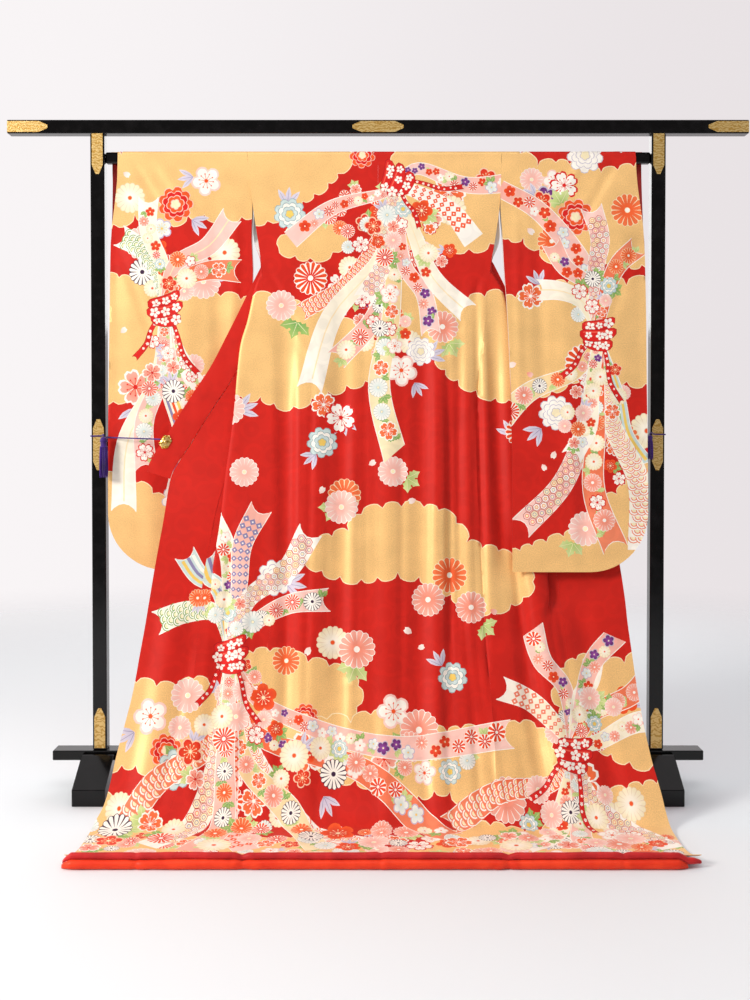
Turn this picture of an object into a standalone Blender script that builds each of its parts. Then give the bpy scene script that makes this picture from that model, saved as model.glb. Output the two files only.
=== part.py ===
# A long-sleeved furisode kimono with two padded hem rolls, shown from behind on a lacquered kimono stand.
# Sizes are in millimetres until they reach a mesh. X runs along the beam, -Y points at the viewer, Z is up.
# The garment hangs over the stand's upper rod: its back faces the viewer, its fronts hang behind the rod,
# turn about the side seams and spread out beside the back, and the train runs forward over the floor.

import bisect
import math
from collections import namedtuple

import bmesh
import bpy
from mathutils import Vector

MM = 0.001
GAP = 0.3

# Stand
BEAM_LENGTH = 1836.0
BEAM_HEIGHT = 33.5
BEAM_DEPTH = 36.0
BEAM_TOP = 1670.0
POST_X = 695.0
POST_WIDTH = 35.0
POST_DEPTH = 34.0
ROD_TOP = 1592.0
ROD_HEIGHT = 28.0
ROD_DEPTH = 22.0
RAIL_CENTRE = 866.0
RAIL_HEIGHT = 31.0
RAIL_DEPTH = 24.0
BAR_LENGTH = 1622.0
BAR_BOTTOM = 79.5
BAR_TOP = 103.6
BAR_FRONT = -27.0
BAR_BACK = 27.0
FOOT_WIDTH = 80.0
FOOT_LENGTH = 300.0
FOOT_TOP = 97.0
FOOT_END_HEIGHT = 40.0
FOOT_FLAT = 84.0
EDGE_BEVEL = 1.5
FOOT_BEVEL = 1.2
ROD_BEVEL = 4.0
PLATE_WIDTH = 27.0
PLATE_THICK = 1.2
PLATE_POINT = 22.0
PLATE_TIP = 8.0
PLATE_END = 100.0
PLATE_MIDDLE = 127.0
PLATE_RISE = 4.0
PLATE_INSET = 0.5

# Cloth
CLOTH = 1.6
COLLAR_WIDTH = 62.0
COLLAR_THICK = 2.4
LAYER_STEP = 7.0
TURN_COLUMN = 5.0
SHOULDER = 1593.2
BACK_COLUMNS = 8
SLEEVE_COLUMNS = 7
OKUMI_START = 1330.0
SEAM_TOP = 1307.0
FOLD_END = 502.0
FOLD_FLAT = 440.0

# The back's profile from the rod's top to the hem. A level is the height while the cloth hangs, and the
# run along the floor, counted down from the bend, after that.
Section = namedtuple("Section", "level y z")
PROFILE = (
    Section(1593.2, -0.2, 1593.2),
    Section(1592.0, -8.4, 1593.4),
    Section(1588.5, -13.0, 1588.6),
    Section(1577.0, -14.2, 1577.0),
    Section(1552.0, -17.0, 1552.0),
    Section(1515.0, -20.0, 1515.0),
    Section(1460.0, -25.5, 1460.0),
    Section(1428.0, -28.4, 1428.0),
    Section(1400.0, -31.0, 1400.0),
    Section(1350.0, -35.3, 1350.0),
    Section(SEAM_TOP, -38.5, SEAM_TOP),
    Section(1247.0, -43.0, 1247.0),
    Section(1175.0, -48.5, 1175.0),
    Section(1110.0, -54.0, 1110.0),
    Section(1030.0, -62.5, 1030.0),
    Section(950.0, -71.5, 950.0),
    Section(870.0, -82.5, 870.0),
    Section(783.0, -94.5, 783.0),
    Section(690.0, -107.0, 690.0),
    Section(620.0, -116.0, 620.0),
    Section(555.0, -124.5, 555.0),
    Section(FOLD_END, -133.0, FOLD_END),
    Section(FOLD_FLAT, -144.0, FOLD_FLAT),
    Section(370.0, -157.5, 370.0),
    Section(290.0, -176.0, 290.0),
    Section(210.0, -200.0, 210.0),
    Section(140.0, -228.0, 140.0),
    Section(90.0, -252.0, 90.0),
    Section(52.0, -276.0, 52.0),
    Section(24.0, -303.0, 24.0),
    Section(0.0, -335.0, 8.0),
    Section(-45.0, -380.0, 4.2),
    Section(-105.0, -440.0, 3.2),
    Section(-155.0, -490.0, 4.8),
    Section(-195.0, -530.0, 12.5),
    Section(-227.0, -562.0, 25.0),
)

# How far back the fronts hang behind the rod, until they have come forward beside the back
FarSide = namedtuple("FarSide", "level y")
FAR_SIDE = (
    FarSide(1593.2, 0.2),
    FarSide(1592.0, 8.4),
    FarSide(1588.5, 13.0),
    FarSide(1577.0, 14.2),
    FarSide(1552.0, 14.6),
    FarSide(1515.0, 13.6),
    FarSide(1460.0, 8.0),
    FarSide(1400.0, 0.0),
    FarSide(1350.0, -9.0),
    FarSide(1307.0, -19.0),
    FarSide(1247.0, -29.0),
    FarSide(1175.0, -35.0),
    FarSide(1110.0, -41.0),
    FarSide(1030.0, -46.0),
    FarSide(950.0, -56.0),
    FarSide(870.0, -67.0),
    FarSide(783.0, -79.0),
    FarSide(690.0, -92.0),
    FarSide(620.0, -102.0),
    FarSide(545.0, -114.0),
    FarSide(470.0, -128.0),
)

# Where each front's lines run, as distances out from the centre. side: the side seam, or the back's own edge
# above it. opening: the front's edge beside the slit. fold: the outer fold. tuck: the inner fold.
# okumi: the okumi seam. edge: the collar seam, then the free edge.
Front = namedtuple("Front", "level side opening fold tuck okumi edge")
LEFT_FRONT = (
    Front(1593.2, 324, 324, 322, 84, 80, 80),
    Front(1515, 318, 318, 316, 100, 118, 118),
    Front(1460, 310, 310, 308, 140, 145, 145),
    Front(1400, 301, 311, 304, 172, 176, 176),
    Front(1350, 293, 310, 300, 165, 200, 200),
    Front(1307, 287, 289, 289, 152, 211, 221),
    Front(1247, 281, 281, 305, 148, 223, 250),
    Front(1175, 271, 271, 320, 172, 240, 284),
    Front(1110, 262, 262, 338, 208, 256, 316),
    Front(1030, 250, 250, 346, 236, 283, 357),
    Front(950, 246, 246, 352, 258, 312, 409),
    Front(870, 244, 244, 361, 292, 343, 458),
    Front(783, 243, 243, 372, 322, 374, 508),
    Front(690, 242, 242, 381, 345, 398, 521),
    Front(620, 244, 244, 391, 366, 410, 532),
    Front(555, 247, 247, 400, 385, 422, 542),
    Front(FOLD_END, 251, 251, 402, 402, 427, 549),
    Front(FOLD_FLAT, 257, 257, 398, 398, 430, 557),
    Front(370, 264, 264, 386, 386, 434, 568),
    Front(290, 271, 271, 380, 380, 441, 580),
    Front(140, 277, 277, 382, 382, 460, 612),
    Front(52, 280, 280, 388, 388, 474, 627),
    Front(0, 281, 281, 392, 392, 484, 645),
    Front(-105, 282, 282, 396, 396, 496, 645),
    Front(-227, 282, 282, 400, 400, 502, 652),
)
RIGHT_FRONT = (
    Front(1593.2, 306, 306, 304, 84, 80, 80),
    Front(1515, 304, 304, 302, 100, 118, 118),
    Front(1460, 301, 301, 299, 140, 145, 145),
    Front(1400, 293, 303, 296, 171, 176, 176),
    Front(1350, 285, 305, 292, 165, 200, 200),
    Front(1307, 277, 279, 279, 152, 211, 221),
    Front(1247, 272, 272, 306, 148, 223, 250),
    Front(1175, 264, 264, 322, 174, 240, 284),
    Front(1110, 256, 256, 336, 206, 256, 316),
    Front(1030, 247, 247, 350, 240, 286, 357),
    Front(950, 242, 242, 360, 266, 318, 409),
    Front(870, 239, 239, 366, 296, 347, 458),
    Front(783, 240, 240, 376, 328, 380, 512),
    Front(690, 244, 244, 388, 354, 406, 560),
    Front(620, 247, 247, 398, 374, 420, 577),
    Front(555, 250, 250, 408, 394, 432, 587),
    Front(FOLD_END, 252, 252, 410, 410, 438, 593),
    Front(FOLD_FLAT, 254, 254, 406, 406, 444, 599),
    Front(370, 259, 259, 392, 392, 450, 607),
    Front(290, 266, 266, 386, 386, 458, 616),
    Front(140, 273, 273, 390, 390, 476, 638),
    Front(52, 272, 272, 394, 394, 488, 655),
    Front(0, 270, 270, 396, 396, 494, 659),
    Front(-105, 269, 269, 398, 398, 500, 659),
    Front(-227, 269, 269, 400, 400, 506, 670),
)

# How far back the collar seam and the free edge lie, where each front is drawn back to its post
EdgeDepth = namedtuple("EdgeDepth", "level y")
EDGE_DEPTH = (
    EdgeDepth(1593.2, 0.2),
    EdgeDepth(1592.0, 8.4),
    EdgeDepth(1588.5, 13.0),
    EdgeDepth(1577.0, 14.2),
    EdgeDepth(1552.0, 15.0),
    EdgeDepth(1460.0, 16.0),
    EdgeDepth(1400.0, 22.0),
    EdgeDepth(1350.0, 4.0),
    EdgeDepth(1307.0, -14.0),
    EdgeDepth(1247.0, -27.5),
    EdgeDepth(1110.0, -42.0),
    EdgeDepth(950.0, -52.0),
    EdgeDepth(870.0, -58.0),
    EdgeDepth(783.0, -68.0),
    EdgeDepth(690.0, -90.0),
    EdgeDepth(545.0, -119.0),
    EdgeDepth(470.0, -136.0),
)

# The largest folds of the back and of the fronts beside it. x_top and x_bottom are where a fold's line
# starts and ends, half_width is its reach to each side, and rise is above zero for a ridge.
Fold = namedtuple("Fold", "name x_top x_bottom top bottom half_width rise")
FOLDS = (
    Fold("left side valley", -232, -216, 1240, 330, 34, -9),
    Fold("left back ridge", -150, -170, 1400, 120, 60, 9),
    Fold("left back valley", -84, -96, 1330, 220, 36, -7),
    Fold("centre ridge", 28, 22, 1450, 150, 44, 6),
    Fold("right inner valley", 110, 92, 1250, 260, 34, -6),
    Fold("right ridge", 146, 140, 1350, 140, 34, 9),
    Fold("right deep valley", 182, 176, 1120, 330, 26, -11),
    Fold("right back ridge", 214, 212, 1290, 180, 26, 9),
    Fold("right side valley", 284, 300, 1240, 560, 26, -10),
    Fold("right front valley", 306, 380, 760, 90, 34, -11),
    Fold("right front ridge", 352, 438, 700, 80, 46, 10),
    Fold("right okumi valley", 470, 548, 560, 60, 44, -8),
    Fold("left front ridge", -318, -336, 760, 90, 48, 8),
    Fold("left front valley", -372, -402, 470, 70, 34, -9),
    Fold("left okumi ridge", -470, -540, 620, 60, 50, 8),
)

# The sleeves. y_near and y_far are the viewer's side and the far side at each level, and inner and outer
# the distances out from the centre of the edge beside the body and of the edge with the cuff.
Sleeve = namedtuple("Sleeve", "level y_near y_far inner outer")
LEFT_SLEEVE = (
    Sleeve(1593.2, -0.2, 0.2, 324, 664),
    Sleeve(1592.0, -8.4, 8.4, 324, 664),
    Sleeve(1588.5, -13.0, 13.0, 324, 664),
    Sleeve(1577.0, -14.2, 14.2, 323, 664),
    Sleeve(1552.0, -16.5, 14.6, 321, 664),
    Sleeve(1515.0, -19.0, 13.0, 318, 663),
    Sleeve(1460.0, -20.0, 8.0, 311, 663),
    Sleeve(1380.0, -20.5, 1.0, 313, 664),
    Sleeve(1300.0, -20.5, -5.0, 310, 665),
    Sleeve(1200.0, -20.5, -9.0, 314, 666),
    Sleeve(1080.0, -20.5, -12.5, 318, 668),
    Sleeve(960.0, -20.5, -14.4, 321, 670),
    Sleeve(840.0, -21.0, -14.6, 323, 671),
    Sleeve(720.0, -23.5, -17.5, 325, 671),
    Sleeve(650.0, -25.0, -19.5, 326, 670),
    Sleeve(605.0, -26.0, -21.0, 327, 669),
    Sleeve(578.0, -26.5, -22.0, 327, 668),
    Sleeve(555.0, -27.0, -24.0, 327, 668),
)
RIGHT_SLEEVE = (
    Sleeve(1593.2, -0.2, 0.2, 306, 657),
    Sleeve(1592.0, -8.4, 8.4, 306, 657),
    Sleeve(1588.5, -13.0, 13.0, 306, 657),
    Sleeve(1577.0, -14.2, 14.2, 306, 658),
    Sleeve(1552.0, -17.0, 13.0, 305, 658),
    Sleeve(1515.0, -21.0, 9.0, 304, 658),
    Sleeve(1460.0, -28.0, -1.0, 302, 658),
    Sleeve(1380.0, -40.5, -20.0, 306, 657),
    Sleeve(1300.0, -54.0, -40.5, 309, 656),
    Sleeve(1200.0, -68.0, -58.0, 315, 655),
    Sleeve(1080.0, -81.0, -71.5, 320, 654),
    Sleeve(960.0, -95.0, -85.5, 323, 653),
    Sleeve(840.0, -109.5, -100.5, 324, 652),
    Sleeve(720.0, -124.0, -116.0, 323, 650),
    Sleeve(650.0, -132.5, -125.5, 323, 648),
    Sleeve(612.0, -136.5, -130.8, 322, 647),
    Sleeve(586.0, -139.0, -134.0, 322, 647),
    Sleeve(563.0, -141.0, -137.8, 322, 647),
)
CUFF_OPENING = 230.0
SLEEVE_CORNER = 138.0
SEAM_PINCH = 60.0

# The collar turns from the inner side of its seam, at the neck, to the outer side, lower down.
NECK_HALF = 80.0
NECK_CORNER = 40.0
NECK_SETBACK = 5.0
Turn = namedtuple("Turn", "level degrees")
COLLAR_TURNS = (
    Turn(1580.0, 55),
    Turn(1540.0, 72),
    Turn(1460.0, 90),
    Turn(1400.0, 112),
    Turn(1350.0, 140),
    Turn(1290.0, 180),
)
NECK_TURN = 15.0
SEAM_CLEAR = 1.3
TURN_CLEAR = 3.0
COLLAR_TOP = 1560.0
COLLAR_END = 783.0
COLLAR_STEPS = 17

# Hem rolls: the lower one lies on the floor, and the upper one on it, against the hem's edge. rear is the
# place of a roll's side towards the hem, and seed sets where its padding lies thicker.
Roll = namedtuple("Roll", "left right radius rear seed")
LOWER_ROLL = Roll(-656.0, 640.0, 10.5, -565.0, 0.4)
UPPER_ROLL = Roll(-655.0, 669.0, 7.6, -562.6, 2.1)
ROLL_STEP = 24.0
ROLL_SIDES = 8
ROLL_END = 24.0
Pucker = namedtuple("Pucker", "x half_width pinch")
PUCKERS = (
    Pucker(-282, 16, 0.16),
    Pucker(269, 16, 0.15),
    Pucker(-502, 12, 0.08),
    Pucker(506, 12, 0.08),
    Pucker(4, 10, 0.07),
)

# Ties: cords round the posts that draw the collar's ends outwards, each with a clip and a tassel
CORD_RADIUS = 1.8
CORD_SIDES = 6
CORD_BEND = 2.4
CORD_EASE = 0.5
CORD_STEP = 12.0
Bend = namedtuple("Bend", "across y rise")
LEFT_TIE_LEVEL = 886.0
RIGHT_TIE_LEVEL = 890.0
CLIP_LENGTH = 34.0
CLIP_REACH = 20.0
CLIP_JAW = 3.4
CLIP_BRIDGE = 5.4
CLIP_AT = 868.0
Slice = namedtuple("Slice", "share size")
CLIP_SLICES = (
    Slice(-0.5, 0.55),
    Slice(-0.32, 0.86),
    Slice(0.0, 1.0),
    Slice(0.32, 0.86),
    Slice(0.5, 0.55),
)
Tassel = namedtuple("Tassel", "x y top length radius cells")
LEFT_TASSEL = Tassel(-677.0, -42.0, 886.0, 100.0, 10.5, 4)
RIGHT_TASSEL = Tassel(673.0, -34.0, 890.0, 60.0, 7.5, 3)

LACQUER = ("#0d0c0c", 0.12, 0.0)
GILT = ("#c79a3d", 0.32, 1.0)
RED_SILK = ("#cf2f26", 0.55, 0.0)
DEEP_RED = ("#a8232a", 0.6, 0.0)
VERMILION = ("#ee3b22", 0.6, 0.0)
PURPLE = ("#4b2a86", 0.7, 0.0)


def linear(hex_colour):
    channels = [int(hex_colour[i : i + 2], 16) / 255 for i in (1, 3, 5)]
    return [c / 12.92 if c <= 0.04045 else ((c + 0.055) / 1.055) ** 2.4 for c in channels] + [1.0]


def finish(name, look):
    colour, roughness, metallic = look
    material = bpy.data.materials.new(name)
    material.use_nodes = True
    shader = material.node_tree.nodes["Principled BSDF"]
    shader.inputs["Base Color"].default_value = linear(colour)
    shader.inputs["Roughness"].default_value = roughness
    shader.inputs["Metallic"].default_value = metallic
    return material


def add_object(name, bm, look, smooth=False):
    # Meshes are in metres, so the millimetres of the design are scaled once, here.
    bmesh.ops.scale(bm, vec=(MM, MM, MM), verts=bm.verts)
    mesh = bpy.data.meshes.new(name)
    bm.to_mesh(mesh)
    bm.free()
    if smooth:
        mesh.shade_smooth()
        mesh.set_sharp_from_angle(angle=math.radians(50))
    piece = bpy.data.objects.new(name, mesh)
    mesh.materials.append(finish(name, look))
    bpy.context.scene.collection.objects.link(piece)
    return piece


# Smooth tracks through the tables

def track(table, column, level):
    # A curve through a table's column that never overshoots its rows.
    levels = [row.level for row in table]
    values = [getattr(row, column) for row in table]
    if level >= levels[0]:
        return values[0]
    if level <= levels[-1]:
        return values[-1]
    i = bisect.bisect_left([-entry for entry in levels], -level) - 1
    i = max(0, min(i, len(levels) - 2))
    steps = [levels[k] - levels[k + 1] for k in range(len(levels) - 1)]
    slopes = [(values[k + 1] - values[k]) / steps[k] for k in range(len(steps))]

    def tangent(k):
        if k == 0:
            return slopes[0]
        if k == len(slopes):
            return slopes[-1]
        before, after = slopes[k - 1], slopes[k]
        if before * after <= 0:
            return 0.0
        weight_before = 2 * steps[k] + steps[k - 1]
        weight_after = steps[k] + 2 * steps[k - 1]
        return (weight_before + weight_after) / (weight_before / before + weight_after / after)

    t = (levels[i] - level) / steps[i]
    h = steps[i]
    return (
        values[i] * (1 + 2 * t) * (1 - t) ** 2
        + tangent(i) * h * t * (1 - t) ** 2
        + values[i + 1] * t * t * (3 - 2 * t)
        + tangent(i + 1) * h * t * t * (t - 1)
    )


def ramp(value, start, end):
    t = max(0.0, min(1.0, (value - start) / (end - start)))
    return t * t * (3 - 2 * t)


def mix(a, b, t):
    return a + (b - a) * t


def profile_frame(level):
    # The back's place and its direction towards the viewer, or upwards on the floor.
    y = track(PROFILE, "y", level)
    z = track(PROFILE, "z", level)
    step = 2.0
    above = min(level + step, PROFILE[0].level)
    below = max(level - step, PROFILE[-1].level)
    run_y = track(PROFILE, "y", below) - track(PROFILE, "y", above)
    run_z = track(PROFILE, "z", below) - track(PROFILE, "z", above)
    size = math.hypot(run_y, run_z)
    return y, z, (run_z / size, -run_y / size)


def relief(x, level):
    # The soft ridges and valleys that stand proud of the plain profile or lie behind it.
    total = 0.0
    for fold in FOLDS:
        length = fold.top - fold.bottom
        place = (fold.top - level) / length
        if place <= 0 or place >= 1.25:
            continue
        line = mix(fold.x_top, fold.x_bottom, place)
        across = abs(x - line) / fold.half_width
        if across >= 1:
            continue
        along = min(1.0, place / 0.3) * min(1.0, (1.25 - place) / 0.35)
        total += fold.rise * along * (0.5 + 0.5 * math.cos(math.pi * across))
    return total


def body_point(x, level, lift=0.0):
    y, z, (out_y, out_z) = profile_frame(level)
    rise = relief(x, level) + lift
    return Vector((x, y + out_y * rise, z + out_z * rise))


# Walls from grids of points

def closed_wall(bm, rows, thickness):
    # A grid of points becomes a closed wall, half its thickness to each side of the points.
    count = len(rows)
    width = len(rows[0])
    near = []
    far = []
    for i in range(count):
        near_row = []
        far_row = []
        for j in range(width):
            across = rows[i][min(j + 1, width - 1)] - rows[i][max(j - 1, 0)]
            down = rows[min(i + 1, count - 1)][j] - rows[max(i - 1, 0)][j]
            normal = across.cross(down).normalized() * (thickness / 2)
            near_row.append(bm.verts.new(rows[i][j] + normal))
            far_row.append(bm.verts.new(rows[i][j] - normal))
        near.append(near_row)
        far.append(far_row)
    for i in range(count - 1):
        for j in range(width - 1):
            for side, turned in ((near, False), (far, True)):
                a, b = side[i][j], side[i][j + 1]
                c, d = side[i + 1][j + 1], side[i + 1][j]
                for corners in ((a, b, c), (a, c, d)):
                    bm.faces.new(corners[::-1] if turned else corners)
    rim = [(0, j) for j in range(width)]
    rim += [(i, width - 1) for i in range(1, count)]
    rim += [(count - 1, j) for j in range(width - 2, -1, -1)]
    rim += [(i, 0) for i in range(count - 2, 0, -1)]
    for here, there in zip(rim, rim[1:] + rim[:1]):
        a, b = near[here[0]][here[1]], near[there[0]][there[1]]
        c, d = far[there[0]][there[1]], far[here[0]][here[1]]
        bm.faces.new((a, c, b))
        bm.faces.new((a, d, c))
    bmesh.ops.recalc_face_normals(bm, faces=bm.faces)


def cloth_wall(name, rows, thickness, look):
    bm = bmesh.new()
    closed_wall(bm, rows, thickness)
    return add_object(name, bm, look, smooth=True)


# The garment's panels

def back_panel(name, sign, fronts):
    # One half of the back, from the centre seam to the side seam, down to the hem.
    rows = []
    for section in PROFILE:
        inner = GAP / 2
        outer = track(fronts, "side", section.level) - GAP / 2
        row = []
        for j in range(BACK_COLUMNS + 1):
            row.append(body_point(sign * mix(inner, outer, j / BACK_COLUMNS), section.level))
        rows.append(row)
    return cloth_wall(name, rows, CLOTH, RED_SILK)


def outer_shares(run):
    # The columns of the first leg and its turn lie a few millimetres apart where there is no fold yet.
    shares = [k * TURN_COLUMN * 0.7 / run for k in range(6)]
    return shares + [mix(shares[5], 1.0, 0.36), mix(shares[5], 1.0, 0.7)]


def between(a, b, share):
    return (mix(a[0], b[0], share), mix(a[1], b[1], share))


def folded_course(fronts, level):
    # A front's course across, seen from above, as (distance out, y): out from the side seam, back inwards
    # behind itself, and out again to the okumi seam. Beside the slit it starts free and has no outer fold.
    y_back = track(PROFILE, "y", level)
    y_far = track(FAR_SIDE, "y", level)
    y_edge = track(EDGE_DEPTH, "y", level)
    free = ramp(level, SEAM_TOP, 1400.0)
    side = mix(track(fronts, "side", level), track(fronts, "opening", level), free) + GAP / 2 - GAP * free
    y_side = mix(y_back, y_far, free)
    fold = track(fronts, "fold", level)
    tuck = track(fronts, "tuck", level)
    okumi = track(fronts, "okumi", level) - GAP / 2
    edge = track(fronts, "edge", level)
    turn = LAYER_STEP * 0.45 * min(1.0, max(0.0, (fold - tuck) / 12))
    behind = y_back + LAYER_STEP
    y_tuck = max(y_far, y_back + LAYER_STEP * 1.3)
    y_third = max(y_tuck + LAYER_STEP * 0.9, mix(y_tuck, y_edge, 0.35))
    y_okumi = mix(y_third, y_edge, max(0.0, min(1.0, (okumi - tuck) / max(edge - tuck, 1.0))))
    first = max(fold - turn, side + 1.0)
    outer_turn = [
        (side, y_back),
        (mix(side, first, 0.34), y_back),
        (mix(side, first, 0.67), y_back),
        (first, y_back),
        (fold, mix(y_back, behind, 0.5)),
        (fold - turn, behind),
    ]
    # Where the outer fold begins, at the top of the side seam, the cloth first turns straight back.
    corner = 1 - min(1.0, max(0.0, (fold - side - 2) / 8))
    straight_back = [(side + 0.3 * k + CLOTH / 2, y_back + 1.5 * k) for k in range(6)]
    outer_turn = [between(a, b, corner) for a, b in zip(outer_turn, straight_back)]
    turn *= ramp(level, 1400.0, 1350.0)
    inner_start = (tuck + turn, y_tuck)
    outer_turn.append(between(outer_turn[5], inner_start, 0.36))
    outer_turn.append(between(outer_turn[5], inner_start, 0.7))
    no_fold = ramp(level, SEAM_TOP, 1350.0)
    run = max(side - inner_start[0], 1.0)
    plain = [between((side, y_side), inner_start, share) for share in outer_shares(run)]
    course = [between(a, b, no_fold) for a, b in zip(outer_turn, plain)]
    third = (tuck + turn, y_third)
    last = (okumi, y_okumi)
    course += [inner_start, (tuck, mix(y_tuck, y_third, 0.5)), third]
    course += [between(third, last, 0.4), between(third, last, 0.7), last]
    return course


def hanging_course(fronts, level):
    # High up a front hangs plainly behind the rod, from the sleeve's seam to its edge. Its columns are
    # close at both ends, where the folds begin lower down.
    start = (track(fronts, "opening", level) - GAP / 2, track(FAR_SIDE, "y", level))
    end = (track(fronts, "okumi", level), track(EDGE_DEPTH, "y", level))
    run = start[0] - end[0]
    inner = 1 - 5 * TURN_COLUMN / run
    shares = [share * inner for share in outer_shares(run * inner)]
    shares += [1 - (5 - k) * TURN_COLUMN / run for k in range(6)]
    return [between(start, end, share) for share in shares]


def spread_course(fronts, level):
    # Below the fold's end a front lies spread beside the back. Its columns stay close where the fold was.
    y_back = track(PROFILE, "y", level)
    side = track(fronts, "side", level) + GAP / 2
    fold = track(fronts, "fold", level)
    okumi = track(fronts, "okumi", level) - GAP / 2
    reach = mix(12.0, 46.0, ramp(level, FOLD_FLAT, 290.0))
    reach = min(reach, (okumi - fold) * 0.6, (fold - side) * 0.6)
    first = fold - reach
    last = fold + reach
    xs = [side, mix(side, first, 0.34), mix(side, first, 0.67)]
    xs += [mix(first, last, k / 7) for k in range(8)]
    xs += [mix(last, okumi, 0.34), mix(last, okumi, 0.67), okumi]
    return [(x, y_back) for x in xs]


def front_course(fronts, level):
    hung = ramp(level, 1400.0, 1455.0)
    ended = ramp(level, FOLD_END, FOLD_FLAT)
    if ended >= 1:
        return spread_course(fronts, level)
    if hung >= 1:
        return hanging_course(fronts, level)
    course = folded_course(fronts, level)
    other = hanging_course(fronts, level) if hung > 0 else spread_course(fronts, level)
    return [between(a, b, max(hung, ended)) for a, b in zip(course, other)]


def front_point(sign, x, y, level, follow):
    # follow is 1 where the point lies on the back's own surface and takes its folds, and 0 behind it.
    y_back, z, (out_y, out_z) = profile_frame(level)
    rise = relief(sign * x, level) * follow
    return Vector((sign * x, y + out_y * rise, z + out_z * rise))


def front_panel(name, sign, fronts):
    rows = []
    for section in PROFILE:
        course = front_course(fronts, section.level)
        ended = ramp(section.level, FOLD_END, FOLD_FLAT)
        joined = 1 - ramp(section.level, SEAM_TOP, 1350.0)
        row = []
        for j, (x, y) in enumerate(course):
            follow = joined if j <= 3 else ended
            row.append(front_point(sign, x, y, section.level, follow))
        rows.append(row)
    return cloth_wall(name, rows, CLOTH, RED_SILK)


def okumi_rows(sign, fronts, columns):
    levels = [OKUMI_START] + [section.level for section in PROFILE if section.level < OKUMI_START - 5]
    rows = []
    for level in levels:
        y_back = track(PROFILE, "y", level)
        y_edge = track(EDGE_DEPTH, "y", level)
        ended = ramp(level, FOLD_END, FOLD_FLAT)
        inner_y = front_course(fronts, level)[-1][1]
        inner = track(fronts, "okumi", level) + GAP / 2
        outer = max(track(fronts, "edge", level), inner + 3.0)
        outer_y = mix(y_edge, y_back, ended)
        row = []
        for j in range(columns + 1):
            share = j / columns
            x = mix(inner, outer, share)
            row.append(front_point(sign, x, mix(inner_y, outer_y, share), level, ended))
        rows.append(row)
    return rows


def okumi_panel(name, sign, fronts):
    return cloth_wall(name, okumi_rows(sign, fronts, 3), CLOTH, RED_SILK)


def collar_turn(level):
    # How far the collar has turned about its seam, in degrees: 0 hangs from the neck, 180 lies outwards.
    for upper, lower in zip(COLLAR_TURNS, COLLAR_TURNS[1:]):
        if level > lower.level:
            passed = max(0.0, (upper.level - level) / (upper.level - lower.level))
            return mix(upper.degrees, lower.degrees, passed)
    return COLLAR_TURNS[-1].degrees


def collar_levels():
    # Rows lie closer together near the neck, where the collar turns over.
    levels = []
    for k in range(COLLAR_STEPS + 1):
        share = k / COLLAR_STEPS
        levels.append(mix(COLLAR_TOP, COLLAR_END, share * (0.6 + 0.4 * share)))
    return levels


def collar_seam(sign, fronts):
    # The collar's seam from the centre of the neck, round its corner and down the front's edge.
    y = ROD_DEPTH / 2 + NECK_SETBACK
    straight = NECK_HALF - NECK_CORNER
    points = []
    turns = []
    for x in (2 * GAP, straight / 2, straight):
        points.append(Vector((sign * x, y, ROD_TOP)))
        turns.append(NECK_TURN * x / straight)
    for angle in (25, 50):
        bend = math.radians(angle)
        x = straight + math.sin(bend) * NECK_CORNER
        points.append(Vector((sign * x, y, ROD_TOP - (1 - math.cos(bend)) * NECK_CORNER)))
        turns.append(NECK_TURN + angle * 0.8)
    for level in collar_levels():
        x = track(fronts, "edge", level)
        y = track(EDGE_DEPTH, "y", level)
        points.append(Vector((sign * x, y, level)))
        turns.append(collar_turn(level))
    return points, turns


def collar_rows(sign, fronts, columns):
    seam, turns = collar_seam(sign, fronts)
    rows = []
    for i, (point, turned) in enumerate(zip(seam, turns)):
        ahead = seam[min(i + 1, len(seam) - 1)]
        behind = seam[max(i - 1, 0)]
        along = (ahead - behind).normalized()
        if i == 0:
            along = Vector((sign, 0, 0))
        # Rearwards, square to the seam, and the side of the seam that the neck is on
        back = Vector((0, 1, 0)) - along * along.y
        back.normalize()
        inward = along.cross(back) * (1 if sign < 0 else -1)
        angle = math.radians(turned)
        across = inward * math.cos(angle) + back * math.sin(angle)
        clear = SEAM_CLEAR + TURN_CLEAR * math.sin(angle)
        row = []
        for j in range(columns + 1):
            share = mix(clear / COLLAR_WIDTH, 1.0, j / columns)
            row.append(point + across * (COLLAR_WIDTH * share))
        rows.append(row)
    return rows


def collar_half(name, sign, fronts):
    return cloth_wall(name, collar_rows(sign, fronts, 3), COLLAR_THICK, RED_SILK)


def sleeve_outer(sleeve, level, bottom):
    # The edge with the cuff, brought in round the bottom corner.
    outer = track(sleeve, "outer", level)
    above = level - bottom
    if above < SLEEVE_CORNER:
        drop = SLEEVE_CORNER - above
        outer -= SLEEVE_CORNER - math.sqrt(max(SLEEVE_CORNER**2 - drop**2, 0.0))
    return outer


def sleeve_levels(sleeve):
    # Extra rows round the corner keep its arc true.
    bottom = sleeve[-1].level
    levels = [row.level for row in sleeve if row.level > bottom + SLEEVE_CORNER]
    for angle in range(0, 91, 15):
        levels.append(bottom + SLEEVE_CORNER * (1 - math.sin(math.radians(angle))))
    return levels


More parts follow.
